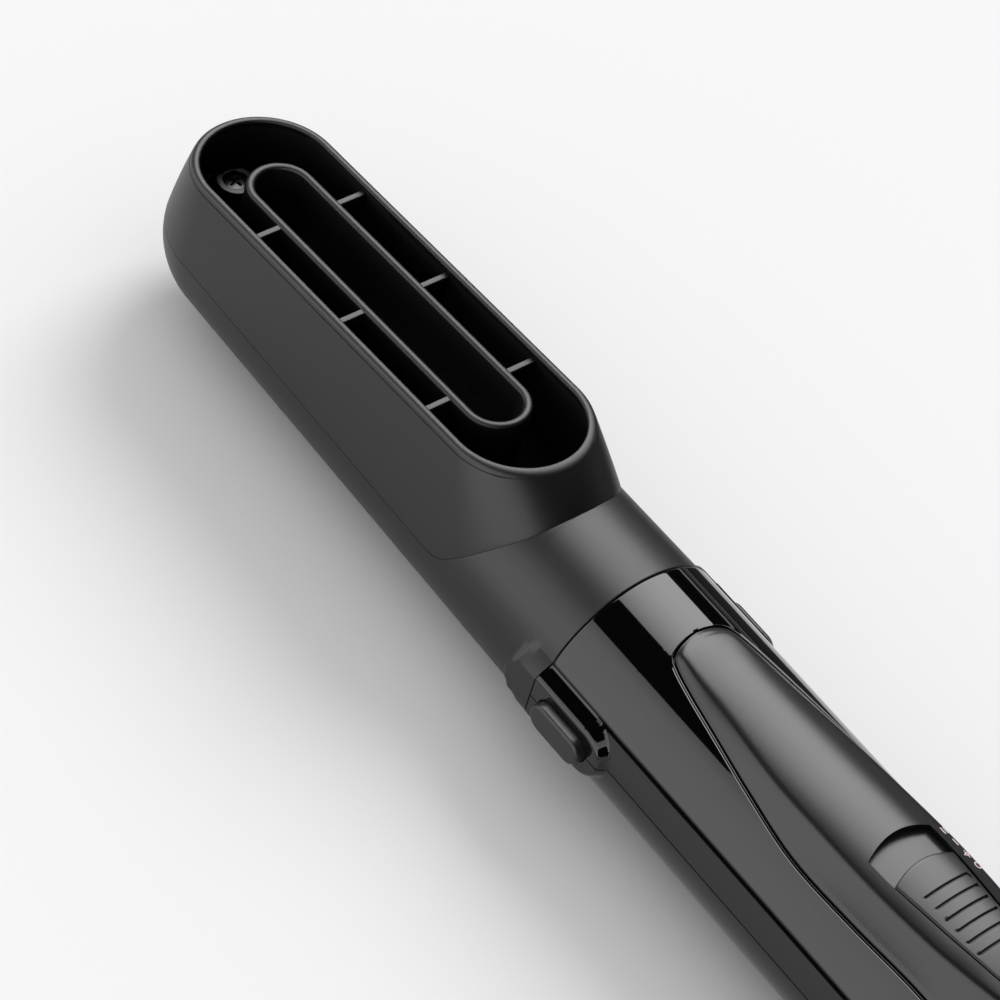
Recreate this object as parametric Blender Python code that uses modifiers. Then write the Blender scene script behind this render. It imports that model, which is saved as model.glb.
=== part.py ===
"""Hot-air styler: handle with motor, fan and heater, and a pull-off side-outlet nozzle."""
import bpy
import bmesh
import math
from mathutils import Matrix, Vector

MM = 0.001

# ---- driving sizes, in millimetres; x runs from the seam to the rear, z up, axis at z = 0 ----
BODY_R = 22.3            # handle's outer radius
WALL = 2.3               # handle shell
GAP = 0.3                # clearance between touching pieces
EDGE = 0.4               # chamfer at the mouths of the handle and the collar
FLAT_DROP = 0.35         # how much the underside flat takes off the handle
HANDLE_END = 182.0       # where the shells stop
TAPER_START = HANDLE_END - 42.0
REAR_R = BODY_R - 2.7    # shell radius at the rear
CAP_LEN = 13.0           # rear grille
CAP_NECK = 6.0           # how far the rear grille's neck goes into the shells
CAP_WALL = 1.6
CAP_R = REAR_R - 0.2
INTAKES = 10             # air slots in the rear grille
INTAKE_HALF = 1.5
SCREEN_T = 0.8
GLAND_OUT = 8.0          # cord inlet bush, past the rear grille
GLAND_R = 7.3            # bush where it passes through the rear grille
GLAND_BORE = 3.1
FLANGE_R = 8.8           # bush flange behind the grille

NOZ_R = BODY_R - 0.4     # nozzle collar radius at the seam
NOZ_R_TIP = NOZ_R - 1.9  # nozzle radius where its end starts to round
NOZ_LEN = 148.5
NOZ_ROUND = 22.0         # length of the rounded end
NOZ_WALL = 2.2
STOP_T = 2.1             # ledge in the collar that the spigot stops at
RIM_HALF = 16.2          # outlet rim, outside half width
RIM_NEAR = -27.6
RIM_TIP = -NOZ_LEN + 4.0
RIM_Z = NOZ_R + 6.1      # rim height at its handle end
RIM_SLOPE = 0.069
CUP_WALL = 2.0
SEAM_Z = 1.5             # joint between nozzle base and cup
RING_HALF = 7.85
RING_WALL = 2.0
RING_NEAR = RIM_NEAR - 14.7
RING_TIP = RIM_TIP + 13.9
RING_DROP = 1.4          # ring top below the rim
RING_DEPTH = 17.0
RIB_FIRST = RING_NEAR - 13.2
RIB_LAST = RING_TIP + 17.4
RIB_X = (RIB_LAST, (RIB_FIRST + RIB_LAST) / 2, RIB_FIRST)
RIB_T = 1.5
RIB_DEPTH = 9.0
RIB_DROP = RING_DROP + 0.55
RIB_FLARE = 1.13         # the ribs widen downwards with the walls
RIB_HALF = RIM_HALF - 0.9
TIP_SCREW_X = RIM_TIP + 7.2
TIP_SCREW_TOP = 8.2
BOSS_R = 3.75
BOSS_TOP = 8.8
BOSS_FOOT = SEAM_Z + 0.25
BOSS_SEAT = 6.2          # where the screw head sits

SPIGOT_LEN = 24.0
SPIGOT_WALL = 1.8
BORE_CLEAR = 0.5         # collar bore over the spigot, per side
COLLAR_BORE = NOZ_R - NOZ_WALL
SPIGOT_R = COLLAR_BORE - BORE_CLEAR
DUCT_R = 14.5
DUCT_WALL = 1.4
DUCT_END = 56.0
WEB_BACK = 3.4           # ring that holds the barrel in the shells
WEB_FRONT = 0.9
SPIGOT_FOLD = -14.0      # where the spigot narrows to the duct

BTN_X = 11.7
BTN_LEN = 18.0
BTN_H = 8.0
BTN_FACE = BODY_R + 4.1  # outer face of the release button from the axis
BTN_TRAVEL = 1.5
BTN_ROUND = 0.9
BTN_SEAT = DUCT_R + 2.1  # inner face of the button
FLANGE_T = BODY_R - WALL - BTN_TRAVEL - BTN_SEAT
FLANGE_LIP = 0.8
FLANGE_HALF = 4.9
ARM_HALF = 2.9           # catch arm, half height
ARM_NOSE = -9.2
HOOK_LEN = 3.0
HOOK_OUT = COLLAR_BORE + 0.25
HOOK_ROOM = 0.4          # clearance round the catch arm and nose
SPRING_R = 2.0
SPRING_WIRE = 0.25
POCKET_R = SPRING_R + 0.75
POCKET_DEPTH = 5.2
SCOOP_FACE = BODY_R - 1.4
SCOOP_FRONT = -11.6
SCOOP_REAR = 21.5
SCOOP_H = 15.6

SEAT_DEPTH = 1.3         # seat of the grip panel in the shell
PANEL_R = BODY_R - SEAT_DEPTH
PANEL_PROUD = 0.05       # panel's edge above the shell
BAND_OUT = 0.45          # where the panel's side band turns, as a share towards its edge
BAND_LOW = 0.4
KNOB_FRONT = 79.9
KNOB_TRAVEL = 7.0
KNOB_SIDE = ((0.0, 7.8), (15.0, 6.6), (30.0, 4.8))
KNOB_LEN = KNOB_SIDE[-1][0]
KNOB_BOW = 1.7
KNOB_SUNK = 0.1          # knob top below the panel's crown
GROOVE_START = KNOB_FRONT + 6.9
GROOVE_PITCH = 2.93
GROOVE_COUNT = 6
GROOVE_T = 0.5
GROOVE_DEPTH = 0.75
WINDOW_GAP = 0.35        # window round the knob, per side
WINDOW_BOW = 2.0
PLATE_SIDE = 1.2         # how much the sliding plate is wider than the knob, per side
PLATE_DROP = 2.3         # plate top below the crown
PLATE_T = 1.0
PLATE_FRONT = KNOB_FRONT - 8.4
PLATE_REAR = KNOB_FRONT + KNOB_LEN + 8.5
CHAMBER_GAP = 0.6        # room round the plate
CROWN_BOW = 53.0         # the crown falls by y squared over this
PLATE_BOW = 90.0
STEM_FRONT = KNOB_FRONT + 8.6
STEM_LEN = 8.0
STEM_HALF = 2.6
STEM_FOOT = 15.2
STEM_GAP = 0.6
SLOT_GAP = 0.8           # housing slot beside the stem

SWITCH_FRONT = KNOB_FRONT - 3.9
SWITCH_LEN = 32.0
SWITCH_HALF = 5.5
SWITCH_TOP = 16.5
BOARD_TOP = 9.3          # circuit board
BOARD_T = 1.6
BOARD_FRONT = SWITCH_FRONT - 6.0
BOARD_LEN = 40.5
BOARD_SIDE = 12.5
DIODE_R = 1.35
DIODE_LEG = 0.4

GRILLE_T = 1.6
GRILLE_SLOTS = 5
GRILLE_SLOT = 2.0
GRILLE_PITCH = 5.8
SLEEVE_R = 12.7
SLEEVE_T = 0.4
SLEEVE_FRONT = -10.0
SLEEVE_END = DUCT_END - 2.0
MICA_T = 0.8             # crossed heater boards
MICA_FRONT = -6.0
MICA_END = DUCT_END - 5.0
MICA_MEET = 22.5
NOTCH_HALF = 0.7
COIL_R = 10.5
COIL_WIRE = 0.35
COIL_TURNS = 10
COIL_FRONT = 2.0
COIL_END = 46.0
BOARD_HALF = 9.2
FAN_X = HANDLE_END - 32.0
FAN_R = 16.4
FAN_HUB = 6.4
FAN_HALF = 5.0           # half the blades' length
BLADES = 7
MOTOR_R = 11.5
MOTOR_FRONT = FAN_X - 38.0
MOTOR_LEN = 27.0
MOTOR_WALL = 1.2
CLAMP_T = 1.7
VANE_T = 1.4
DUCT_TIP_GAP = 0.9       # fan duct outside the blades
SHAFT_R = 1.0
SHAFT_FIT = 0.02
SCREW_X = (63.5, HANDLE_END - 13.0)
POST_R = 3.0
PILOT_R = 1.3
WELL_R = 2.9             # well for the screw head
WELL_OUT = 4.0
WELL_MOUTH = 3.4
WELL_DEPTH = 6.0
SCREW_BORE = 1.5
SCREW_R = 1.15
HEAD_R = 2.6
HEAD_T = 1.7
SEAT_CLEAR = 0.1         # screw head below its seat
SCREW_TIP = 11.0
CROSS_HALF = 1.3
CROSS_T = 0.5
CROSS_DEPTH = 0.9
LEAD_R = 0.6

LARGE = 40               # facets round a large turned shape
MEDIUM = 24
SMALL = 12
HALF_TURN = math.radians(90)
X_MIN = -NOZ_LEN
X_MAX = HANDLE_END + GAP + CAP_LEN + GLAND_OUT
SEAM = Vector((-(X_MIN + X_MAX) / 2 * MM, 0, (BODY_R - FLAT_DROP) * MM))

# grip panel: station, half widths of outline and crease, heights of crease and crown above the handle's radius
PANEL_RISE = (
    (15.3, 2.6, 1.6, 0.15, 0.25),
    (16.0, 5.2, 3.6, 0.10, 0.40),
    (17.0, 7.0, 5.0, 0.05, 0.60),
    (19.0, 8.1, 6.2, 0.05, 0.75),
    (24.0, 9.3, 6.6, 0.20, 1.00),
    (31.5, 10.6, 7.3, 0.40, 1.40),
    (49.0, 13.3, 9.7, 0.50, 2.25),
    (63.5, 14.9, 10.6, 1.25, 3.30),
    (80.0, 14.8, 11.1, 2.05, 4.30),
    (95.0, 14.2, 10.3, 2.70, 4.75),
    (104.0, 14.1, 9.0, 3.10, 4.90),
    (112.0, 14.0, 7.6, 3.30, 4.70),
    (128.0, 12.8, 6.6, 2.30, 3.30),
    (142.0, 10.8, 5.6, 0.60, 1.40),
    (150.0, 8.6, 4.0, -0.25, 0.10),
    (154.0, 4.8, 2.0, -0.50, -0.40),
)
PANEL = [(x, edge, crease, BODY_R + low, BODY_R + high) for x, edge, crease, low, high in PANEL_RISE]
# side line of the joint between nozzle base and cup: x, z
SEAM_LINE = ((-36.9, SEAM_Z), (-34.6, 3.0), (-30.1, 8.0), (-24.5, 15.0), (-21.3, 19.0), (-19.6, 22.0))

for leftover in list(bpy.data.objects):
    bpy.data.objects.remove(leftover, do_unlink=True)


def new_collection(name, hidden=False):
    collection = bpy.data.collections.new(name)
    bpy.context.scene.collection.children.link(collection)
    collection.hide_render = hidden
    return collection


PARTS = new_collection("hot_air_styler")
CUTTERS = new_collection("cutters", hidden=True)


def material(name, colour, roughness, metallic=0.0):
    mat = bpy.data.materials.new(name)
    mat.use_nodes = True
    shader = mat.node_tree.nodes["Principled BSDF"]
    shader.inputs["Base Color"].default_value = (*colour, 1.0)
    shader.inputs["Roughness"].default_value = roughness
    shader.inputs["Metallic"].default_value = metallic
    return mat


def finish(obj, mat):
    """Put a made object in the part's collection with its own material."""
    obj.data.materials.clear()
    obj.data.materials.append(material(obj.name, *mat))
    return obj


GLOSS_BLACK = ((0.012, 0.012, 0.013), 0.08)
MATT_BLACK = ((0.02, 0.02, 0.021), 0.5)
SOFT_BLACK = ((0.03, 0.03, 0.031), 0.62)
GREY_PLASTIC = ((0.045, 0.045, 0.046), 0.55)
HEAT_PLASTIC = ((0.05, 0.045, 0.04), 0.6)
MICA = ((0.62, 0.5, 0.3), 0.6)
STEEL = ((0.62, 0.62, 0.63), 0.3, 1.0)
DARK_STEEL = ((0.08, 0.08, 0.085), 0.35, 1.0)
NICHROME = ((0.35, 0.33, 0.31), 0.35, 1.0)
BOARD_GREEN = ((0.03, 0.16, 0.07), 0.5)
WHITE_PLASTIC = ((0.75, 0.74, 0.7), 0.5)
YELLOW = ((0.75, 0.5, 0.08), 0.45)
CERAMIC = ((0.8, 0.78, 0.72), 0.5)
RUBBER = ((0.02, 0.02, 0.02), 0.8)


def link(name, mesh, at, collection, turn=(0, 0, 0)):
    obj = bpy.data.objects.new(name, mesh)
    obj.location = SEAM + Vector(at) * MM
    obj.rotation_euler = turn
    collection.objects.link(obj)
    if collection is CUTTERS:
        obj.display_type = "WIRE"
        obj.hide_render = True
    return obj


def turned(name, profile, at=(0, 0, 0), steps=LARGE, collection=None, turn=(0, HALF_TURN, 0)):
    """Closed profile of (radius, station along the axis) turned about the tool's axis."""
    return solid_turned(name, [*profile, profile[0]], at, steps, collection, turn)


def solid_turned(name, profile, at=(0, 0, 0), steps=MEDIUM, collection=None, turn=(0, HALF_TURN, 0)):
    """Profile turned into a solid; it starts and ends on the axis, or ends where it starts."""
    mesh = bpy.data.meshes.new(name)
    bm = bmesh.new()
    closed = profile[0] == profile[-1]
    rim = [bm.verts.new((r * MM, 0, x * MM)) for r, x in (profile[:-1] if closed else profile)]
    for a, b in zip(rim, rim[1:] + rim[:1] if closed else rim[1:]):
        bm.edges.new((a, b))
    bm.to_mesh(mesh)
    bm.free()
    obj = link(name, mesh, at, collection or PARTS, turn)
    screw = obj.modifiers.new("turn", "SCREW")
    screw.axis = "Z"
    screw.angle = 2 * math.pi
    screw.steps = steps
    screw.render_steps = steps
    screw.use_merge_vertices = True
    screw.merge_threshold = 0.00001
    return obj


def rod(name, r, x0, x1, at=(0, 0, 0), steps=MEDIUM, collection=None, turn=(0, HALF_TURN, 0)):
    """Plain round bar from x0 to x1 along the object's own axis."""
    return solid_turned(name, ((0, x1), (r, x1), (r, x0), (0, x0)), at, steps, collection, turn)


def tube(name, r, bore, z0, z1, at):
    """Upright pipe for joining on to a piece."""
    return turned(name, ((r, z1), (r, z0), (bore, z0), (bore, z1)), at, SMALL, CUTTERS, (0, 0, 0))


def block(name, low, high, collection=None, bevel=0.0, at=None):
    """Box between two corners; its origin is the middle unless a point is given."""
    low = Vector(low)
    high = Vector(high)
    middle = (low + high) / 2
    origin = Vector(at) if at is not None else middle
    mesh = bpy.data.meshes.new(name)
    bm = bmesh.new()
    bmesh.ops.create_cube(bm, size=1.0)
    size = high - low
    bmesh.ops.scale(bm, vec=size * MM, verts=bm.verts)
    bmesh.ops.translate(bm, vec=(middle - origin) * MM, verts=bm.verts)
    bm.to_mesh(mesh)
    bm.free()
    obj = link(name, mesh, origin, collection or PARTS)
    if bevel:
        add_bevel(obj, bevel)
    return obj


def add_bevel(obj, width, segments=2):
    mod = obj.modifiers.new("edge", "BEVEL")
    mod.width = width * MM
    mod.segments = segments
    mod.limit_method = "ANGLE"
    mod.angle_limit = math.radians(40)


def outline_prism(name, points, z0, z1, collection=None, at=(0, 0, 0), turn=(0, 0, 0)):
    """Flat outline in its own XY plane, filled and pushed from z0 to z1."""
    curve = bpy.data.curves.new(name, "CURVE")
    curve.dimensions = "2D"
    curve.fill_mode = "BOTH"
    curve.extrude = abs(z1 - z0) / 2 * MM
    spline = curve.splines.new("POLY")
    spline.points.add(len(points) - 1)
    for point, (x, y) in zip(spline.points, points):
        point.co = (x * MM, y * MM, 0, 1)
    spline.use_cyclic_u = True
    shape = bpy.data.objects.new(name + "_outline", curve)
    bpy.context.scene.collection.objects.link(shape)
    bpy.context.view_layer.update()
    mesh = bpy.data.meshes.new_from_object(shape)
    bpy.data.objects.remove(shape, do_unlink=True)
    bm = bmesh.new()
    bm.from_mesh(mesh)
    bmesh.ops.remove_doubles(bm, verts=bm.verts, dist=0.000001)
    bmesh.ops.translate(bm, vec=(0, 0, (z0 + z1) / 2 * MM), verts=bm.verts)
    bmesh.ops.recalc_face_normals(bm, faces=bm.faces)
    bm.to_mesh(mesh)
    bm.free()
    return link(name, mesh, at, collection or PARTS, turn)


def stadium(length, half, steps=9):
    """Outline of a slot: straight sides and round ends, along X, centred on the origin."""
    reach = length / 2 - half
    points = []
    for side, start in ((1, -90), (-1, 90)):
        for i in range(steps + 1):
            angle = math.radians(start + 180 * i / steps)
            points.append((side * reach + half * math.cos(angle), half * math.sin(angle)))
    return points


def boolean(obj, other, operation="DIFFERENCE"):
    mod = obj.modifiers.new(operation.lower(), "BOOLEAN")
    mod.operation = operation
    mod.solver = "EXACT"
    mod.object = other


def cut(obj, *others):
    for other in others:
        boolean(obj, other)


def join_on(obj, *others):
    for other in others:
        boolean(obj, other, "UNION")


def wire(name, points, r, collection=None, at=(0, 0, 0), resolution=1):
    """Round wire through the given points, with closed ends."""
    curve = bpy.data.curves.new(name, "CURVE")
    curve.dimensions = "3D"
    curve.bevel_depth = r * MM
    curve.bevel_resolution = resolution
    curve.use_fill_caps = True
    spline = curve.splines.new("POLY")
    spline.points.add(len(points) - 1)
    for point, co in zip(spline.points, points):
        point.co = (*(Vector(co) * MM), 1)
    obj = bpy.data.objects.new(name, curve)
    obj.location = SEAM + Vector(at) * MM
    (collection or PARTS).objects.link(obj)
    return obj


def helix(name, axis, radius, r, start, end, turns, per_turn, at=(0, 0, 0), resolution=2):
    """Coil about X or Y between two stations, relative to the object's origin."""
    count = int(turns * per_turn)
    points = []
    for i in range(count + 1):
        angle = 2 * math.pi * turns * i / count
        along = start + (end - start) * i / count
        a = radius * math.cos(angle)
        b = radius * math.sin(angle)
        points.append((along, a, b) if axis == "X" else (a, along, b))
    return wire(name, points, r, at=at, resolution=resolution)


# ---------------------------------------------------------------- handle shells

def body_radius(x):
    """Outside radius of the handle at a station."""
    if x <= TAPER_START:
        return BODY_R
    t = (x - TAPER_START) / (HANDLE_END - TAPER_START)
    return BODY_R + (REAR_R - BODY_R) * t * t * (3 - 2 * t)


def shell_profile():
    stations = [TAPER_START + (HANDLE_END - TAPER_START) * i / 6 for i in range(7)]
    outer = [(body_radius(x), x) for x in reversed(stations)]
    outer += [(BODY_R, GAP / 2 + EDGE), (BODY_R - EDGE, GAP / 2)]
    inner = [(BODY_R - WALL, GAP / 2), (BODY_R - WALL, TAPER_START)]
    inner += [(body_radius(x) - WALL, x) for x in stations[1:]]
    return outer + inner


def make_scoops():
    """Rounded side hollows shared by the shells and the nozzle collar."""
    for side in (-1, 1):
        middle = (SCOOP_FRONT + SCOOP_REAR) / 2
        length = SCOOP_REAR - SCOOP_FRONT
        cutter = outline_prism(
            "scoop_cut_" + ("right" if side > 0 else "left"), stadium(length, SCOOP_H / 2, 7),
            0, BODY_R, CUTTERS, (middle, side * SCOOP_FACE, 0), (-side * HALF_TURN, 0, 0))
        yield cutter


def button_hole(side):
    return outline_prism(
        "button_hole_" + ("right" if side > 0 else "left"),
        stadium(BTN_LEN + 2 * GAP, BTN_H / 2 + GAP, 7), 0, BODY_R, CUTTERS,
        (BTN_X, side * BTN_SEAT, 0), (-side * HALF_TURN, 0, 0))


def panel_point_rows(grow=0.0):
    """Cross sections of the grip panel from nose to tail, outline to outline."""
    rows = []
    for x, edge, crease, crease_z, crown in PANEL:
        edge += grow
        crease += grow
        edge_z = math.sqrt((body_radius(x) + PANEL_PROUD) ** 2 - edge ** 2)
        band = (crease + (edge - crease) * BAND_OUT, crease_z + (edge_z - crease_z) * BAND_LOW)
        row = [(x, -edge, edge_z), (x, -band[0], band[1])]
        for k in range(-4, 5):
            y = crease * k / 4
            row.append((x, y, crown - (crown - crease_z) * (k / 4) ** 2))
        row.append((x, *band))
        row.append((x, edge, edge_z))
        lift = 1.0 if grow else 0.0
        row = [row[0]] + [(px, py, pz + lift) for px, py, pz in row[1:-1]] + [row[-1]]
        rows.append(row)
    return rows


def lofted(name, rows, collection, at=(0, 0, 0)):
    """Closed skin over equal-length closed sections, with both ends capped."""
    mesh = bpy.data.meshes.new(name)
    bm = bmesh.new()
    rings = [[bm.verts.new(Vector(p) * MM) for p in row] for row in rows]
    for a, b in zip(rings, rings[1:]):
        count = len(a)
        for i in range(count):
            j = (i + 1) % count
            bm.faces.new((a[i], a[j], b[j], b[i]))
    bm.faces.new(rings[0])
    bm.faces.new(rings[-1])
    bmesh.ops.recalc_face_normals(bm, faces=bm.faces)
    bm.to_mesh(mesh)
    bm.free()
    return link(name, mesh, at, collection)


def panel_sections(underside, grow=0.0):
    """Full cross sections: top from the panel table, underside at a given radius."""
    rows = []
    for row in panel_point_rows(grow):
        x = row[0][0]
        low = underside(x)
        half = row[-1][1]
        under = []
        for k in range(4, -5, -1):
            y = half * k / 4
            under.append((x, y, math.sqrt(max(low ** 2 - y ** 2, 1.0))))
        rows.append(row + under)
    rows[0] = [(x - grow, y, z) for x, y, z in rows[0]]
    rows[-1] = [(x + grow, y, z) for x, y, z in rows[-1]]
    return rows


def seat_radius(x):
    return body_radius(x) - SEAT_DEPTH


def bowed_slab(stations, extra, top_drop, low_z, bow):
    """Sections of a slab that follows the crown: top a set drop below it, underside from low_z(x, y)."""
    rows = []
    for x in stations:
        top = []
        low = []
        for k in range(-4, 5):
            y = (knob_half(x) + extra) * k / 4
            top.append((x, y, crown_height(x) - top_drop - y * y / bow))
            low.append((x, -y, low_z(x, y)))
        rows.append(top + low)
    return rows


def make_panel():
    panel = lofted("grip_panel", panel_sections(lambda x: seat_radius(x) + GAP), PARTS)
    front = PLATE_FRONT - KNOB_TRAVEL - CHAMBER_GAP
    chamber = lofted("switch_chamber", bowed_slab(
        slab_stations(front, PLATE_REAR + CHAMBER_GAP), PLATE_SIDE + CHAMBER_GAP,
        PLATE_DROP - CHAMBER_GAP, lambda x, y: math.sqrt((PANEL_R - GAP) ** 2 - y * y), PLATE_BOW), CUTTERS)
    window = outline_prism("window_cut", window_outline(), PANEL_R - SEAT_DEPTH, 2 * BODY_R, CUTTERS)
    cut(panel, chamber, window)
    return finish(panel, SOFT_BLACK)


def crown_height(x):
    for a, b in zip(PANEL, PANEL[1:]):
        if a[0] <= x <= b[0]:
            t = (x - a[0]) / (b[0] - a[0])
            return a[4] + (b[4] - a[4]) * t
    return PANEL[-1][4]


def knob_half(x):
    """Half width of the switch knob at a station, held past its ends."""
    along = x - KNOB_FRONT
    for a, b in zip(KNOB_SIDE, KNOB_SIDE[1:]):
        if along <= b[0]:
            return a[1] + (b[1] - a[1]) * max(along - a[0], 0) / (b[0] - a[0])
    return KNOB_SIDE[-1][1]


def slab_stations(front, rear):
    """Both ends and every knot between them of what shapes the crown or the knob's sides."""
    knots = [row[0] for row in PANEL] + [KNOB_FRONT + along for along, half in KNOB_SIDE]
    return [front, *sorted(x for x in knots if front < x < rear), rear]


def window_outline():
    """Switch window seen from above: bowed front, sides that follow the knob, square rear."""
    front = KNOB_FRONT - KNOB_TRAVEL - WINDOW_GAP
    side = [(KNOB_FRONT + along, half + WINDOW_GAP) for along, half in KNOB_SIDE]
    side[-1] = (side[-1][0] + WINDOW_GAP, side[-1][1])
    points = [(x, -y) for x, y in side] + side[::-1]
    half = side[0][1]
    for i in range(9):
        y = half - 2 * half * i / 8
        points.append((front + WINDOW_BOW * (y / half) ** 2, y))
    return points


def make_housing():
    scoops = list(make_scoops())
    holes = [button_hole(side) for side in (-1, 1)]
    seat = lofted("panel_seat", panel_sections(seat_radius, GAP), CUTTERS)
    far = 2 * BODY_R
    above = block("keep_above", (-far, -far, -far), (HANDLE_END + far, far, GAP / 2), CUTTERS)
    below = block("keep_below", (-far, -far, -GAP / 2), (HANDLE_END + far, far, far), CUTTERS)
    slot = block("switch_slot", (STEM_FRONT - KNOB_TRAVEL - STEM_GAP, -STEM_HALF - SLOT_GAP, BODY_R / 2),
                 (STEM_FRONT + STEM_LEN + STEM_GAP, STEM_HALF + SLOT_GAP, far), CUTTERS)
    flat = block("underside_flat", (-far, -far, -far), (HANDLE_END + far, far, -BODY_R + FLAT_DROP), CUTTERS)
    upper = turned("upper_housing", shell_profile(), steps=LARGE)
    cut(upper, above, seat, slot, *scoops, *holes)
    lower = turned("lower_housing", shell_profile(), steps=LARGE)
    cut(lower, below, flat, *scoops, *holes)
    for index, x in enumerate(SCREW_X):
        inner = body_radius(x) - WALL / 1.5
        step = -body_radius(x) + WELL_DEPTH
        foot = -body_radius(x) + 2 * FLAT_DROP
        opening = rod("lower_well_%d" % index, WELL_MOUTH, -far, step - 1, (x, 0, 0), SMALL, CUTTERS, (0, 0, 0))
        cut(lower, opening)
        post = tube("upper_post_%d" % index, POST_R, PILOT_R, GAP, inner, (x, 0, 0))
        profile = ((WELL_OUT, -GAP), (WELL_OUT, foot), (WELL_R, foot), (WELL_R, step), (SCREW_BORE, step),
                   (SCREW_BORE, -GAP))
        sleeve = turned("lower_post_%d" % index, profile, (x, 0, 0), SMALL, CUTTERS, (0, 0, 0))
        join_on(upper, post)
        join_on(lower, sleeve)
    finish(upper, GLOSS_BLACK)
    finish(lower, GLOSS_BLACK)
    for name, x in zip(("housing_screw_front", "housing_screw_rear"), SCREW_X):
        seat_z = -body_radius(x) + WELL_DEPTH - SEAT_CLEAR
        profile = ((0, SCREW_TIP), (SCREW_R / 2, SCREW_TIP), (SCREW_R, SCREW_TIP - SCREW_R), (SCREW_R, seat_z),
                   (HEAD_R, seat_z), (HEAD_R, seat_z - HEAD_T + EDGE), (HEAD_R - EDGE, seat_z - HEAD_T),
                   (0, seat_z - HEAD_T))
        screw = solid_turned(name, profile, (x, 0, 0), SMALL, turn=(0, 0, 0))
        cross_slot(screw, (x, 0, seat_z - HEAD_T), -1)
        finish(screw, DARK_STEEL)


def cross_slot(screw, at, outward):
    """Cross recess in a screw head; outward is +1 when the head looks up."""
    x, y, z = at
    low, high = sorted((z - outward * CROSS_DEPTH, z + outward * CROSS_DEPTH))
    for word, long, wide in (("a", CROSS_HALF, CROSS_T / 2), ("b", CROSS_T / 2, CROSS_HALF)):
        slot = block(screw.name + "_slot_" + word, (x - long, y - wide, low), (x + long, y + wide, high),
                     CUTTERS)
        cut(screw, slot)


# ---------------------------------------------------------------- switch

def make_switch():
    rows = []
    for x in slab_stations(KNOB_FRONT, KNOB_FRONT + KNOB_LEN):
        if KNOB_FRONT < x < KNOB_FRONT + 2 * KNOB_BOW:
            continue
        crown = crown_height(x)
        top = []
        low = []
        for k in range(-4, 5):
            y = knob_half(x) * k / 4
            front = x + KNOB_BOW * (k / 4) ** 2 if x == KNOB_FRONT else x
            top.append((front, y, crown - KNOB_SUNK - y * y / CROWN_BOW))
            low.append((front, y, crown - PLATE_DROP - PLATE_T / 2 - y * y / PLATE_BOW))
        rows.append(top + low[::-1])
    origin = (KNOB_FRONT + KNOB_LEN / 2, 0, 0)
    knob = lofted("switch_slider", [[(p[0] - origin[0], p[1], p[2]) for p in row] for row in rows],
                  PARTS, origin)
    plate = lofted("slider_plate", bowed_slab(
        slab_stations(PLATE_FRONT, PLATE_REAR), PLATE_SIDE, PLATE_DROP,
        lambda x, y: crown_height(x) - PLATE_DROP - PLATE_T - y * y / PLATE_BOW, PLATE_BOW), CUTTERS)
    stem_top = crown_height(STEM_FRONT) - PLATE_DROP
    stem = block("slider_stem", (STEM_FRONT, -STEM_HALF, STEM_FOOT),
                 (STEM_FRONT + STEM_LEN, STEM_HALF, stem_top), CUTTERS)
    join_on(knob, plate, stem)
    for i in range(GROOVE_COUNT):
        x = GROOVE_START + i * GROOVE_PITCH
        reach = knob_half(x) - 1
        groove = block("knob_groove_%d" % i, (x - GROOVE_T / 2, -reach, crown_height(x) - GROOVE_DEPTH),
                       (x + GROOVE_T / 2, reach, 2 * BODY_R), CUTTERS)
        cut(knob, groove)
    finish(knob, GREY_PLASTIC)

    low = BOARD_TOP + GAP
    rear = SWITCH_FRONT + SWITCH_LEN
    body = block("switch_body", (SWITCH_FRONT, -SWITCH_HALF, low), (rear, SWITCH_HALF, SWITCH_TOP), bevel=EDGE)
    track = block("switch_track", (STEM_FRONT - KNOB_TRAVEL - STEM_GAP, -STEM_HALF - EDGE, STEM_FOOT - STEM_GAP),
                  (STEM_FRONT + STEM_LEN + STEM_GAP, STEM_HALF + EDGE, 2 * SWITCH_TOP), CUTTERS)
    cut(body, track)
    finish(body, WHITE_PLASTIC)

    board = block("circuit_board", (BOARD_FRONT, -BOARD_SIDE, BOARD_TOP - BOARD_T),
                  (BOARD_FRONT + BOARD_LEN, BOARD_SIDE, BOARD_TOP))
    finish(board, BOARD_GREEN)
    cap = block("film_capacitor", (BOARD_FRONT + 2.0, SWITCH_HALF + 0.7, low),
                (BOARD_FRONT + 15.0, BOARD_SIDE - 0.9, low + 4.9), bevel=EDGE)
    finish(cap, YELLOW)
    axis_z = BOARD_TOP + DIODE_R + GAP + 0.25
    for name, y in (("diode_front", -SWITCH_HALF - 2.5), ("diode_rear", -SWITCH_HALF - 5.7)):
        profile = ((0, 12), (DIODE_LEG, 12), (DIODE_LEG, 9), (DIODE_R, 9), (DIODE_R, 3), (DIODE_LEG, 3),
                   (DIODE_LEG, 0), (0, 0))
        body = solid_turned(name, profile, (BOARD_FRONT + 16.0, y, axis_z), SMALL)
        finish(body, RUBBER)


# ---------------------------------------------------------------- release buttons

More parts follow.
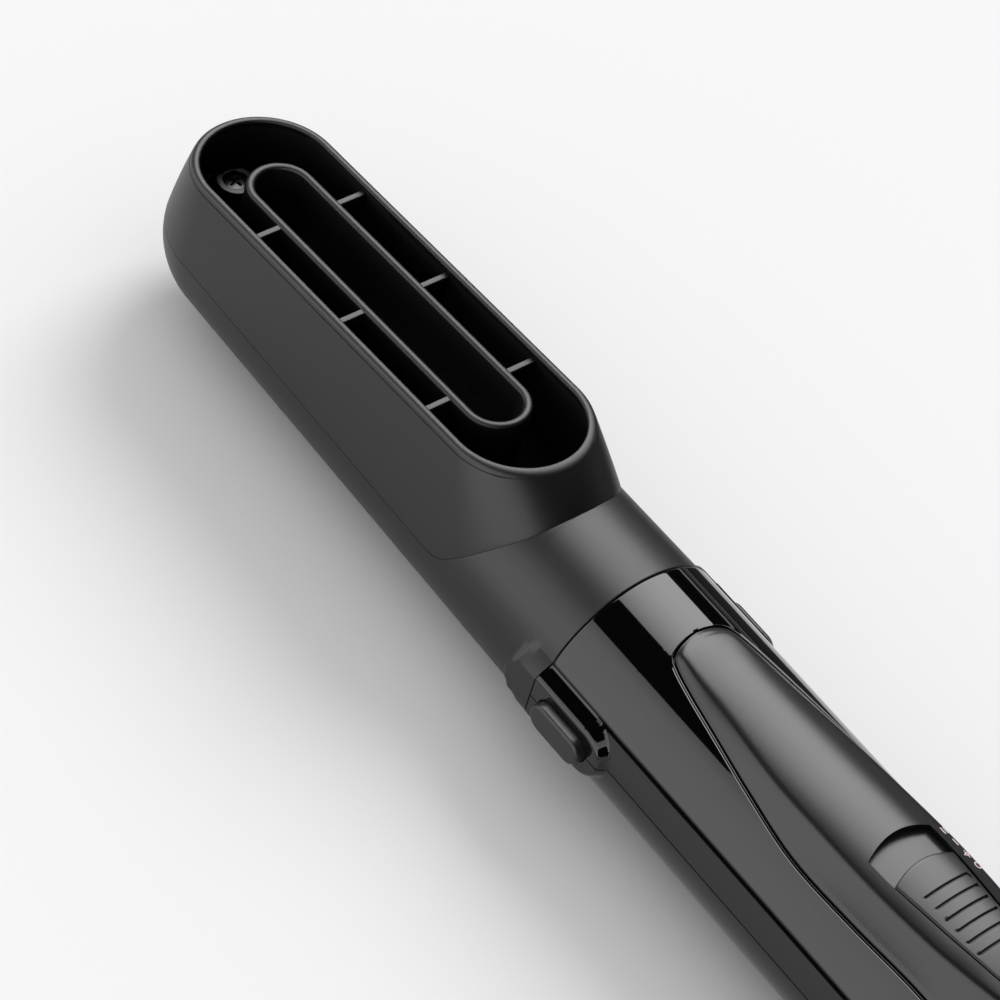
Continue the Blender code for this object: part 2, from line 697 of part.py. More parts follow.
def make_button(side):
    word = "right" if side > 0 else "left"
    turn = (-side * HALF_TURN, 0, 0)
    flange_out = BTN_SEAT + FLANGE_T
    pad = outline_prism("release_button_" + word, stadium(BTN_LEN, BTN_H / 2, 7),
                        FLANGE_T - GAP, BTN_FACE - BTN_SEAT, PARTS, (BTN_X, side * BTN_SEAT, 0), turn)
    add_bevel(pad, BTN_ROUND)
    y0, y1 = sorted((side * BTN_SEAT, side * flange_out))
    front = BTN_X - BTN_LEN / 2
    flange = block("button_flange_" + word, (front - FLANGE_LIP, y0, -FLANGE_HALF),
                   (front + BTN_LEN + FLANGE_LIP, y1, FLANGE_HALF), CUTTERS)
    arm = block("button_arm_" + word, (ARM_NOSE, y0, -ARM_HALF), (front + 1, y1, ARM_HALF), CUTTERS)
    y0, y1 = sorted((side * (flange_out - 0.5), side * HOOK_OUT))
    hook = block("button_hook_" + word, (ARM_NOSE, y0, -ARM_HALF), (ARM_NOSE + HOOK_LEN, y1, ARM_HALF), CUTTERS)
    join_on(pad, flange, arm, hook)
    pocket = rod("spring_pocket_" + word, POCKET_R, -1, POCKET_DEPTH, (BTN_X, side * BTN_SEAT, 0), SMALL,
                 CUTTERS, turn)
    cut(pad, pocket)
    finish(pad, MATT_BLACK)
    reach = BTN_SEAT + POCKET_DEPTH - DUCT_R - 2 * GAP
    spring = helix("button_spring_" + word, "Y", SPRING_R, SPRING_WIRE, side * GAP, side * (reach - GAP / 3),
                   4, 8, (BTN_X, side * (DUCT_R + GAP - 0.1), 0))
    return finish(spring, STEEL)


# ---------------------------------------------------------------- front barrel and heater

def make_barrel():
    inner = SPIGOT_R - SPIGOT_WALL
    bore = DUCT_R - DUCT_WALL
    web = BODY_R - WALL - GAP
    profile = (
        (DUCT_R, DUCT_END), (DUCT_R, WEB_BACK), (web, WEB_BACK), (web, WEB_FRONT),
        (SPIGOT_R, WEB_FRONT - EDGE), (SPIGOT_R, -SPIGOT_LEN + 2 * EDGE), (SPIGOT_R - 2 * EDGE, -SPIGOT_LEN),
        (inner, -SPIGOT_LEN), (inner, SPIGOT_FOLD), (bore, SPIGOT_FOLD + 2), (bore, DUCT_END))
    # the fold between the spigot and the duct is opened behind the web
    barrel = turned("front_barrel", profile, steps=LARGE)
    fold = SPIGOT_FOLD + 2 * SPIGOT_WALL
    relief = turned("barrel_relief", ((inner, EDGE), (inner, fold), (DUCT_R, fold), (DUCT_R, EDGE)),
                    steps=LARGE, collection=CUTTERS)
    cut(barrel, relief)
    for side in (-1, 1):
        word = "right" if side > 0 else "left"
        y0, y1 = sorted((side * (DUCT_R + GAP), side * 2 * BODY_R))
        tall = ARM_HALF + HOOK_ROOM
        slot = block("catch_slot_" + word, (ARM_NOSE - 0.7, y0, -tall), (WEB_FRONT + 1.3, y1, tall), CUTTERS)
        tall = FLANGE_HALF + HOOK_ROOM
        room = block("button_room_" + word, (WEB_FRONT - EDGE, y0, -tall), (2 * WEB_BACK, y1, tall), CUTTERS)
        cut(barrel, slot, room)
    finish(barrel, HEAT_PLASTIC)

    front = -SPIGOT_LEN + 2 * GAP
    grille = rod("outlet_grille", inner - GAP, front, front + GRILLE_T, steps=MEDIUM)
    for i in range(GRILLE_SLOTS):
        y = GRILLE_PITCH * (i - (GRILLE_SLOTS - 1) / 2)
        half = math.sqrt((inner - 2) ** 2 - y * y)
        slot = block("grille_slot_%d" % i, (front - 2, y - GRILLE_SLOT, -half),
                     (front + GRILLE_T + 2, y + GRILLE_SLOT, half), CUTTERS)
        cut(grille, slot)
    bar = block("grille_bar", (front, 0.8 - inner, -GRILLE_T / 2),
                (front + GRILLE_T, inner - 0.8, GRILLE_T / 2), CUTTERS)
    join_on(grille, bar)
    finish(grille, MATT_BLACK)

    bore = SLEEVE_R - SLEEVE_T
    sleeve = turned("mica_sleeve", ((SLEEVE_R, SLEEVE_END), (SLEEVE_R, SLEEVE_FRONT), (bore, SLEEVE_FRONT),
                                    (bore, SLEEVE_END)), steps=MEDIUM)
    finish(sleeve, MICA)
    half = MICA_T / 2
    board_a = block("mica_board_level", (MICA_FRONT, -BOARD_HALF, -half), (MICA_END, BOARD_HALF, half))
    notch = block("mica_notch_a", (MICA_MEET - 0.2, -NOTCH_HALF, -2), (DUCT_END, NOTCH_HALF, 2), CUTTERS)
    cut(board_a, notch)
    finish(board_a, MICA)
    board_b = block("mica_board_upright", (MICA_FRONT, -half, -BOARD_HALF), (MICA_END, half, BOARD_HALF))
    notch = block("mica_notch_b", (2 * MICA_FRONT, -2, -NOTCH_HALF), (MICA_MEET + 0.2, 2, NOTCH_HALF), CUTTERS)
    cut(board_b, notch)
    finish(board_b, MICA)
    coil = helix("heater_coil", "X", COIL_R, COIL_WIRE, COIL_FRONT, COIL_END, COIL_TURNS, 9)
    finish(coil, NICHROME)
    thermostat = rod("thermostat", 2.6, 0.75, 4.2, (48.0, -5.0, 0), SMALL, turn=(0, 0, 0))
    finish(thermostat, CERAMIC)
    fuse = solid_turned("thermal_fuse", ((0, 44), (0.35, 44), (0.35, 40), (1.3, 39.2), (1.3, 31),
                                         (0.35, 30.2), (0.35, 26), (0, 26)), (0, 5.2, -2.2), 12)
    finish(fuse, STEEL)


# ---------------------------------------------------------------- motor and fan

def make_fan():
    ring_in = FAN_R + DUCT_TIP_GAP
    ring_out = BODY_R - WALL - GAP - 1.2
    front = MOTOR_FRONT - 2.0
    duct = turned("fan_duct", ((ring_out, FAN_X + 8), (ring_out, front), (ring_in, front), (ring_in, FAN_X + 8)),
                  steps=LARGE)
    rear = MOTOR_FRONT + MOTOR_LEN
    grip = MOTOR_R + GAP
    front, back = MOTOR_FRONT + 6.0, rear - 1.0
    cup = turned("motor_clamp", ((grip + CLAMP_T, back), (grip + CLAMP_T, front), (grip, front), (grip, back)),
                 steps=MEDIUM, collection=CUTTERS)
    join_on(duct, cup)
    for i in range(6):
        angle = math.radians(60 * i + 30)
        vane = block("stator_vane_%d" % i, (front + 1, -VANE_T / 2, grip + 0.9),
                     (back - 1, VANE_T / 2, ring_in + 0.5), CUTTERS, at=((front + back) / 2, 0, 0))
        vane.rotation_euler = (angle, 0, 0)
        join_on(duct, vane)
    finish(duct, GREY_PLASTIC)

    inner = MOTOR_R - MOTOR_WALL
    can = turned("motor_can", ((MOTOR_R, rear), (MOTOR_R, MOTOR_FRONT + 2 * EDGE),
                               (MOTOR_R - 2 * EDGE, MOTOR_FRONT), (2.4, MOTOR_FRONT),
                               (2.4, MOTOR_FRONT + MOTOR_WALL), (inner, MOTOR_FRONT + MOTOR_WALL),
                               (inner, rear)), steps=MEDIUM)
    finish(can, STEEL)
    bearing = SHAFT_R + 3 * SHAFT_FIT
    end = turned("motor_end_cap", ((inner - GAP, rear + 2.2), (inner - GAP, rear - 3.0), (bearing, rear - 3.0),
                                   (bearing, rear + 2.2)), steps=MEDIUM)
    finish(end, WHITE_PLASTIC)
    shaft = rod("motor_shaft", SHAFT_R, MOTOR_FRONT - 1.5, FAN_X + 4.5, steps=SMALL)
    finish(shaft, STEEL)
    rotor = rod("motor_rotor", inner - 1.7, MOTOR_FRONT + 4.0, rear - 6.5, steps=MEDIUM)
    hole = rod("rotor_hole", SHAFT_R + SHAFT_FIT, MOTOR_FRONT, rear, steps=SMALL, collection=CUTTERS)
    for i in range(3):
        angle = math.radians(120 * i)
        gap = block("rotor_gap_%d" % i, (MOTOR_FRONT, -0.8, 3.2), (rear, 0.8, MOTOR_R), CUTTERS,
                    at=((MOTOR_FRONT + rear) / 2, 0, 0))
        gap.rotation_euler = (angle, 0, 0)
        cut(rotor, gap)
    cut(rotor, hole)
    finish(rotor, NICHROME)

    hub = FAN_HUB - 1.2
    boss = SHAFT_R + 1.2
    bore = SHAFT_R + SHAFT_FIT
    fan = turned("impeller", ((FAN_HUB, FAN_X + 4.0), (FAN_HUB, FAN_X - FAN_HALF), (hub, FAN_X - FAN_HALF),
                              (hub, FAN_X + 2.6), (boss, FAN_X + 2.6), (boss, FAN_X - 2.0),
                              (bore, FAN_X - 2.0), (bore, FAN_X + 4.0)), steps=MEDIUM)
    for i in range(BLADES):
        blade = block("fan_blade_%d" % i, (FAN_X - FAN_HALF, -0.5, hub + 0.6), (FAN_X + FAN_HALF, 0.5, FAN_R),
                      CUTTERS, at=(FAN_X, 0, 0))
        mesh = blade.data
        for vert in mesh.vertices:
            vert.co.y += vert.co.x * (0.75 if vert.co.z > FAN_HUB * 1.5 * MM else 0.35)
        blade.rotation_euler = (2 * math.pi * i / BLADES, 0, 0)
        join_on(fan, blade)
    finish(fan, GREY_PLASTIC)


# ---------------------------------------------------------------- rear end

def make_rear():
    x0 = HANDLE_END + GAP
    x1 = x0 + CAP_LEN
    neck = body_radius(HANDLE_END) - WALL - GAP
    inner = neck - CAP_WALL
    floor = x1 - 2.0
    hole = GLAND_R + GAP
    cap = turned("rear_grille", (
        (neck, x0), (CAP_R, x0), (CAP_R, x1 - 7.0), (CAP_R - 0.6, x1 - 3.4), (CAP_R - 2.8, x1 - 1.0),
        (CAP_R - 6.4, x1), (hole, x1), (hole, floor), (inner, floor), (inner, x0 - CAP_NECK),
        (neck, x0 - CAP_NECK)), steps=LARGE)
    for i in range(INTAKES):
        angle = 2 * math.pi * (i + 0.5) / INTAKES
        slot = block("intake_slot_%d" % i, (x0 + 1.8, -INTAKE_HALF, hole + 2.4),
                     (x1 + 3, INTAKE_HALF, 2 * CAP_R), CUTTERS, at=(x0 + CAP_NECK, 0, 0))
        slot.rotation_euler = (angle, 0, 0)
        cut(cap, slot)
    finish(cap, MATT_BLACK)
    mesh_x = x0 - 1.5
    screen_r = inner - GAP
    screen = turned("filter_mesh", ((screen_r, mesh_x + SCREEN_T), (screen_r, mesh_x), (5.2, mesh_x),
                                    (5.2, mesh_x + SCREEN_T)), steps=MEDIUM)
    finish(screen, STEEL)
    end = x1 + GLAND_OUT
    flange = floor - EDGE
    gland = turned("cord_gland", (
        (GLAND_BORE + 1.3, end), (GLAND_R - 1.9, end - 1.0), (GLAND_R - 1.1, x1 + 0.6),
        (GLAND_R - 0.2, x1 + 0.6), (GLAND_R, x1 + 0.3), (GLAND_R, flange), (FLANGE_R, flange), (FLANGE_R, flange - 2.0),
        (GLAND_BORE, flange - 2.0), (GLAND_BORE, end)), steps=MEDIUM)
    finish(gland, RUBBER)


# ---------------------------------------------------------------- nozzle

def nozzle_radius(x):
    """Outside radius of the nozzle body at a station."""
    start = -NOZ_LEN + NOZ_ROUND
    if x >= start:
        return NOZ_R + (NOZ_R_TIP - NOZ_R) * (x / start)
    t = min((start - x) / NOZ_ROUND, 1.0)
    return NOZ_R_TIP * math.sqrt(max(1 - t ** 2, 0.0))


def seam_x(z):
    """Station of the cup joint on its slanted stretch at a height."""
    if z <= SEAM_LINE[0][1]:
        return SEAM_LINE[0][0]
    for (xa, za), (xb, zb) in zip(SEAM_LINE, SEAM_LINE[1:]):
        if za <= z <= zb:
            return xa + (xb - xa) * (z - za) / (zb - za)
    return SEAM_LINE[-1][0]


def nozzle_sections(wall):
    start = -NOZ_LEN + NOZ_ROUND
    points = [(0.0, -NOZ_LEN + wall)]
    for i in range(1, 8):
        a = math.radians(90 / 7 * i)
        points.append(((NOZ_R_TIP - wall) * math.sin(a), start - (NOZ_ROUND - wall) * math.cos(a)))
    return points


def make_nozzle_base():
    outer = nozzle_sections(0.0)
    body = solid_turned("nozzle_base", [(0, -GAP / 2), (NOZ_R - EDGE, -GAP / 2), (NOZ_R, -GAP / 2 - EDGE)]
                        + outer[::-1], steps=LARGE)
    inner = nozzle_sections(NOZ_WALL)
    stop = -SPIGOT_LEN - 2.0
    stop_r = COLLAR_BORE - STOP_T
    hollow = solid_turned("nozzle_hollow", [(0, 5), (COLLAR_BORE, 5), (COLLAR_BORE, stop), (stop_r, stop),
                                            (stop_r, stop - 2.5), (COLLAR_BORE - 0.3, stop - 5.0)]
                          + inner[::-1], steps=LARGE, collection=CUTTERS)
    far = 2 * BODY_R
    post = rod("nozzle_post", PILOT_R + 1.8, -far, far, (TIP_SCREW_X, 0, 0), SMALL, CUTTERS, (0, 0, 0))
    cut(hollow, post)
    # everything above the cup joint is cut away
    tip = -NOZ_LEN - far
    line = [(tip, SEAM_Z - GAP / 2), (SEAM_LINE[0][0], SEAM_Z - GAP / 2)]
    line += [(x, z - GAP / 2) for x, z in SEAM_LINE[1:]]
    line += [(SEAM_LINE[-1][0] + 1, NOZ_R + 2.1), (SEAM_LINE[-1][0] + 1, far), (tip, far)]
    above = outline_prism("cup_room", line, -far, far, CUTTERS, turn=(HALF_TURN, 0, 0))
    cut(body, hollow, above)
    for side in (-1, 1):
        word = "right" if side > 0 else "left"
        y0, y1 = sorted((side * DUCT_R, side * (HOOK_OUT + 0.35)))
        tall = ARM_HALF + HOOK_ROOM + 0.1
        groove = block("catch_groove_" + word, (ARM_NOSE - 0.8, y0, -tall), (2, y1, tall), CUTTERS)
        cut(body, groove, bpy.data.objects["scoop_cut_" + word])
    pilot = rod("nozzle_pilot", SCREW_R + 0.1, -9, SEAM_Z + 4.5, (TIP_SCREW_X, 0, 0), SMALL, CUTTERS, (0, 0, 0))
    cut(body, pilot)
    return finish(body, MATT_BLACK)


def cup_ring(steps, wall, level):
    """Ring of points of the cup wall: level 0 is the joint line, 1 is the rim."""
    near, side, tip = steps
    start = -NOZ_LEN + NOZ_ROUND
    half = []
    low_r = NOZ_R_TIP - wall
    rim_half = RIM_HALF - wall
    for i in range(near + 1):
        t = i / near
        angle = math.radians(90 * t)
        top_x = RIM_NEAR - wall - rim_half + rim_half * math.cos(angle)
        top_y = rim_half * math.sin(angle)
        theta = t * math.acos(SEAM_Z / (NOZ_R - wall))
        x = seam_x((NOZ_R - wall) * math.cos(theta))
        for _ in range(4):
            x = seam_x((nozzle_radius(x) - wall) * math.cos(theta))
        r = nozzle_radius(x) - wall
        half.append(((top_x, top_y), (x, r * math.sin(theta), max(r * math.cos(theta), SEAM_Z))))
    flank_top = (RIM_NEAR - RIM_HALF, RIM_TIP + RIM_HALF)
    for i in range(1, side):
        t = i / side
        x = SEAM_LINE[0][0] + (start - SEAM_LINE[0][0]) * t
        y = math.sqrt((nozzle_radius(x) - wall) ** 2 - SEAM_Z ** 2)
        top_x = flank_top[0] + (flank_top[1] - flank_top[0]) * t
        half.append(((top_x, rim_half), (x, y, SEAM_Z)))
    for i in range(tip + 1):
        angle = math.radians(90 * i / tip)
        top_x = flank_top[1] - rim_half * math.sin(angle)
        top_y = rim_half * math.cos(angle)
        x = start - (NOZ_ROUND - wall) * math.sin(angle)
        y = math.sqrt(low_r ** 2 - SEAM_Z ** 2) * math.cos(angle)
        half.append(((top_x, top_y), (x, y, SEAM_Z)))
    ring = []
    for (tx, ty), (bx, by, bz) in half:
        tz = RIM_Z + RIM_SLOPE * (tx - RIM_NEAR)
        ring.append((bx + (tx - bx) * level, by + (ty - by) * level,
                     bz + GAP / 2 + (tz - bz - GAP / 2) * level))
    mirrored = [(x, -y, z) for x, y, z in ring[-2:0:-1]]
    return ring + mirrored


def make_nozzle_cup():
    steps = (9, 5, 8)
    rings = [cup_ring(steps, 0.0, level) for level in (0.0, 0.5, 1.0)]
    rings += [cup_ring(steps, CUP_WALL, level) for level in (1.0, 0.5, 0.0)]
    mesh = bpy.data.meshes.new("nozzle_cup")
    bm = bmesh.new()
    loops = [[bm.verts.new(Vector(p) * MM) for p in ring] for ring in rings]
    for a, b in zip(loops, loops[1:] + loops[:1]):
        count = len(a)
        for i in range(count):
            j = (i + 1) % count
            bm.faces.new((a[i], a[j], b[j], b[i]))
    bmesh.ops.recalc_face_normals(bm, faces=bm.faces)
    bm.to_mesh(mesh)
    bm.free()
    cup = link("nozzle_cup", mesh, (0, 0, 0), PARTS)

    tilt = -math.atan(RIM_SLOPE)
    middle = (RING_NEAR + RING_TIP) / 2
    top = RIM_Z + RIM_SLOPE * (middle - RIM_NEAR) - RING_DROP
    length = RING_NEAR - RING_TIP
    ring = outline_prism("outlet_ring", stadium(length, RING_HALF), -RING_DEPTH, 0, CUTTERS,
                         (middle, 0, top), (0, tilt, 0))
    hollow = outline_prism("ring_hollow", stadium(length - 2 * RING_WALL, RING_HALF - RING_WALL),
                           -RING_DEPTH - 3, RIM_HALF, CUTTERS, (middle, 0, top), (0, tilt, 0))
    join_on(cup, ring)
    for i, x in enumerate(RIB_X):
        z = RIM_Z + RIM_SLOPE * (x - RIM_NEAR) - RIB_DROP
        rib = block("outlet_rib_%d" % i, (x - RIB_T / 2, -RIB_HALF, z - RIB_DEPTH),
                    (x + RIB_T / 2, RIB_HALF, z), CUTTERS, at=(x, 0, z))
        for vert in rib.data.vertices:
            if vert.co.z < -1 * MM:
                vert.co.y *= RIB_FLARE
        rib.rotation_euler = (0, tilt, 0)
        join_on(cup, rib)
    cut(cup, hollow)
    shelf = block("screw_shelf", (RIM_TIP - 1.7, -5.0, BOSS_FOOT + 1.45),
                  (TIP_SCREW_X + 2.3, 5.0, BOSS_FOOT + 3.45), CUTTERS)
    hole = BOSS_R - 1.0
    at = (TIP_SCREW_X, 0, 0)
    boss = turned("screw_boss", ((BOSS_R, BOSS_TOP), (BOSS_R, BOSS_FOOT), (SCREW_BORE, BOSS_FOOT),
                                 (SCREW_BORE, BOSS_SEAT), (hole, BOSS_SEAT), (hole, BOSS_TOP)), at, SMALL,
                  CUTTERS, (0, 0, 0))
    core = rod("screw_core", hole - 0.15, 0, BOSS_TOP + 0.7, at, SMALL, CUTTERS, (0, 0, 0))
    join_on(cup, shelf)
    cut(cup, core)
    join_on(cup, boss)
    finish(cup, MATT_BLACK)

    head = hole - GAP
    top = TIP_SCREW_TOP
    seat = BOSS_SEAT + SEAT_CLEAR
    shank = SCREW_R - 0.05
    screw = solid_turned("nozzle_screw", ((0, top), (head - 1.05, top - 0.1), (head - 0.25, top - 0.6),
                                          (head, top - 1.3), (head, seat), (shank, seat), (shank, -5.6),
                                          (shank / 2, -6.6), (0, -6.6)), at, SMALL, turn=(0, 0, 0))
    cross_slot(screw, (TIP_SCREW_X, 0, top), 1)
    finish(screw, DARK_STEEL)


# ---------------------------------------------------------------- wires

def make_wires():
    routes = {
        "heater_lead_live": ((53.0, -6.5, 3.0), (57.5, -8.5, 4.0), (60, -9.5, 6), (69.2, -9.5, 8.4)),
        "heater_lead_neutral": ((53.0, 6.5, 3.0), (57.5, 8.5, 4.0), (60, 9.5, 6), (69.2, 9.5, 8.4)),
        "motor_lead_front": ((108.3, -4.0, 6.9), (104.0, -4.5, 4.5), (106.5, -4.5, 1.0), (111.4, -4.5, 0.0)),
        "motor_lead_rear": ((108.3, 4.0, 6.9), (104.0, 4.5, 4.5), (106.5, 4.5, 1.0), (111.4, 4.5, 0.0)),
    }
    for name, points in routes.items():
        lead = wire(name, points, LEAD_R, resolution=2)
        finish(lead, WHITE_PLASTIC)


make_housing()
make_panel()
make_switch()
for hand in (-1, 1):
    make_button(hand)
make_barrel()
make_fan()
make_rear()
make_nozzle_base()
make_nozzle_cup()
make_wires()
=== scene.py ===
"""Finished look of the hot-air styler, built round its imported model."""
import math

import bmesh
import bpy
import numpy as np
from mathutils import Matrix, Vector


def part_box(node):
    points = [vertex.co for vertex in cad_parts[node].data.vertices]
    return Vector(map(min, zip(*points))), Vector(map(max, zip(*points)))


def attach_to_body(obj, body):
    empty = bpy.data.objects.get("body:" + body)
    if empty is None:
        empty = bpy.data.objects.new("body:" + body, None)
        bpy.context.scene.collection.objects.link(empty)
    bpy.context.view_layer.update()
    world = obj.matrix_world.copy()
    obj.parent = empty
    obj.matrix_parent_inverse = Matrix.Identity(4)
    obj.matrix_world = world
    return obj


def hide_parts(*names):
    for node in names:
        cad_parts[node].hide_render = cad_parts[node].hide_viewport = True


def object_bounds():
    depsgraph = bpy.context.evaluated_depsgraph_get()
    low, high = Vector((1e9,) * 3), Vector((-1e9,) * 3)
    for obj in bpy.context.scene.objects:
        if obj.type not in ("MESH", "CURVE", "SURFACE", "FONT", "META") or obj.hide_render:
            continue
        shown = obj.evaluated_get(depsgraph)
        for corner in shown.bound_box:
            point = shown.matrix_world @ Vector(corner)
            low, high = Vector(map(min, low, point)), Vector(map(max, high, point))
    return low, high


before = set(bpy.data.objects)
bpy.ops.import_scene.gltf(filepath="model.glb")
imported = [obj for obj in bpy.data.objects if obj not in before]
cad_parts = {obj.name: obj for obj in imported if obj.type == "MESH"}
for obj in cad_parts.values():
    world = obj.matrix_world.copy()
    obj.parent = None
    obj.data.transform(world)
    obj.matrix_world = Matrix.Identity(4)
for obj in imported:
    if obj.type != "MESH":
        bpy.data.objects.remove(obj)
cad_low, cad_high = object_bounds()

MM = 0.001
# ---- sizes in millimetres from the seam on the axis: x to the rear, y to the right, z up ----
BODY_R = 22.3
WALL = 2.3
GAP = 0.3
FLAT_DROP = 0.35
HANDLE_END = 182.0
TAPER_START = 140.0
REAR_R = 19.6
CAP_LEN = 13.0
GLAND_OUT = 8.0
EDGE_R = 0.4             # rounding at the mouth of the collar and the handle
NOZ_R = 21.9
NOZ_R_TIP = 20.0
NOZ_LEN = 148.5
NOZ_ROUND = 22.0
NOZ_WALL = 2.2
BORE_R = 19.7
RIM_HALF = 16.2
RIM_NEAR = -27.6
RIM_TIP = -144.5
RIM_Z = 28.0
RIM_SLOPE = 0.069
CUP_WALL = 2.0
CUP_BULGE = 0.25
SEAM_Z = 1.5
JOINT_GAP = 0.12
RING_HALF = 6.85         # middle of the ring's wall
RING_NEAR = -43.3
RING_TIP = -129.6
RING_DROP = 1.4
RING_DEPTH = 17.0
RIB_X = (-113.2, -84.3, -55.5)
RIB_T = 1.5
RIB_DEPTH = 9.0
RIB_DROP = 1.95
SCREW_X = -137.3
BTN_X = 10.1
BTN_LEN = 14.8
BTN_H = 6.6
BTN_FACE = 26.8
BTN_FOOT = 17.0
PAD_FACE = 24.3          # raised land round the release button
PAD_FRONT = -8.6
PAD_REAR = 21.2
PAD_H = 11.6
PAD_SLOPE = 1.75         # fall of its ledge
SEAT_DEPTH = 1.3
LIP_R = 0.35
KNOB_FRONT = 79.9
KNOB_LEN = 30.0
KNOB_BOW = 1.7
KNOB_TRAVEL = 7.0
WINDOW_GAP = 0.35
WINDOW_BOW = 2.0
PLATE_DROP = 2.3
PLATE_T = 1.0
PLATE_FRONT = 71.5
PLATE_REAR = 118.4
PLATE_SIDE = 1.2
CHAMBER_GAP = 0.6
CROWN_BOW = 46.0
PLATE_BOW = 90.0
GROOVE_X = 86.7
GROOVE_COUNT = 6
GROOVE_PITCH = 2.93
GROOVE_HALF = 0.22
GROOVE_DEPTH = 0.55
HOUSING_SCREWS = (63.5, 169.0)
WELL_R = 3.4
WELL_WALL = 0.6
INTAKE_SLOTS = 10

# joint between nozzle base and cup, seen from the side: x, z
JOINT = ((-38.6, 1.5), (-36.6, 1.9), (-34.4, 3.1), (-30.1, 7.9), (-24.5, 14.9), (-21.5, 18.5), (-19.8, 21.4),
         (-19.3, 22.2))
# knob half width at a station
KNOB_SIDE = ((79.9, 7.8), (86.0, 7.4), (95.0, 6.6), (101.0, 5.9), (110.0, 4.8))
# grip panel rows: outline x and half width, crease x, half width and height, crown height
PANEL = ((15.0, 0.0, 17.1, 0.0, 22.72, 22.72), (15.3, 2.6, 17.3, 2.1, 22.64, 22.78),
         (16.0, 5.2, 17.9, 4.2, 22.50, 22.90), (17.0, 7.0, 18.8, 5.6, 22.42, 23.00),
         (19.0, 8.1, 20.3, 6.3, 22.40, 23.15), (24.0, 9.3, 24.5, 6.8, 22.35, 23.35),
         (31.5, 10.6, 31.5, 7.3, 22.40, 23.70), (49.0, 13.3, 49.0, 9.7, 22.35, 24.55),
         (63.5, 14.9, 63.5, 10.6, 23.00, 25.60), (80.0, 14.8, 80.0, 11.1, 23.80, 26.60),
         (95.0, 14.2, 95.0, 10.3, 24.55, 27.05), (104.0, 14.1, 104.0, 9.0, 25.10, 27.20),
         (112.0, 14.0, 112.0, 7.6, 25.60, 27.00), (128.0, 12.8, 128.0, 6.6, 24.60, 25.60),
         (142.0, 10.8, 142.0, 5.6, 22.90, 23.70), (150.0, 8.6, 149.4, 4.0, 22.05, 22.40),
         (154.0, 4.8, 152.4, 2.0, 21.80, 21.90), (155.0, 0.0, 153.0, 0.0, 21.78, 21.78))

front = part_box("upper_housing")[0]
core_low, core_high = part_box("front_barrel")
SEAM = np.array((front.x / MM - GAP / 2, (core_low.y + core_high.y) / 2 / MM, (core_low.z + core_high.z) / 2 / MM))


# ---------------------------------------------------------------- shader notation

class Num:
    """A number socket; arithmetic on it adds the Math nodes that work it out."""

    def __init__(self, recipe, socket):
        self.recipe = recipe
        self.socket = socket

    def _math(self, operation, first, second):
        return self.recipe.node("ShaderNodeMath", {"operation": operation}, (first, second))

    def __add__(self, other):
        return self._math("ADD", self, other)

    def __radd__(self, other):
        return self._math("ADD", other, self)

    def __sub__(self, other):
        return self._math("SUBTRACT", self, other)

    def __rsub__(self, other):
        return self._math("SUBTRACT", other, self)

    def __mul__(self, other):
        return self._math("MULTIPLY", self, other)

    def __rmul__(self, other):
        return self._math("MULTIPLY", other, self)

    def __gt__(self, other):
        return self._math("GREATER_THAN", self, other)


class Recipe:
    """The nodes of one material."""

    def __init__(self, name):
        self.material = bpy.data.materials.new(name)
        self.material.use_nodes = True
        self.nodes = self.material.node_tree.nodes
        self.links = self.material.node_tree.links
        self.shader = self.nodes["Principled BSDF"]

    def plug(self, socket, value):
        if isinstance(value, Num):
            self.links.new(value.socket, socket)
        else:
            socket.default_value = value

    def node(self, kind, settings=None, values=(), output=0):
        """Any node: its settings first, then the values or links of its sockets, by order or by name."""
        made = self.nodes.new(kind)
        for key, value in (settings or {}).items():
            setattr(made, key, value)
        named = values.items() if isinstance(values, dict) else enumerate(values)
        for key, value in named:
            self.plug(made.inputs[key], value)
        return Num(self, made.outputs[output])

    def place(self):
        """Where a point lies on the object."""
        return self.node("ShaderNodeTexCoord", output="Object")

    def noise(self, size, detail=2.0, vector=None):
        """Soft noise with features of a size in millimetres."""
        values = {"Vector": vector or self.place(), "Scale": 1 / (size * MM), "Detail": detail}
        return self.node("ShaderNodeTexNoise", None, values, "Fac")

    def mix(self, amount, first, second):
        """Colour between two, by an amount."""
        settings = {"data_type": "RGBA"}
        values = {0: amount, 6: first, 7: second}
        return self.node("ShaderNodeMix", settings, values, 2)

    def bump(self, height, depth):
        """Normal for a height from 0 to 1 that stands for a depth in millimetres."""
        return self.node("ShaderNodeBump", None, {"Strength": 1.0, "Distance": depth * MM, "Height": height})

    def finish(self, **sockets):
        for key, value in sockets.items():
            self.plug(self.shader.inputs[key.replace("_", " ")], value)
        return self.material


def tone(colour, factor):
    return tuple(channel * factor for channel in colour) + (1.0,)


def moulded(name, colour, rough, grain=0.35, depth=0.006, drift=0.12, spread=0.05, metallic=0.0):
    """Moulded or rolled surface: slow drift of tone and gloss, and a fine grain."""
    recipe = Recipe(name)
    slow = recipe.noise(9.0, 3.0)
    fine = recipe.noise(grain, 3.0)
    base = recipe.mix(slow, tone(colour, 1 - drift), tone(colour, 1 + drift))
    return recipe.finish(Base_Color=base, Roughness=rough - spread / 2 + spread * fine + 0.4 * spread * slow,
                         Metallic=metallic, Normal=recipe.bump(fine, depth))


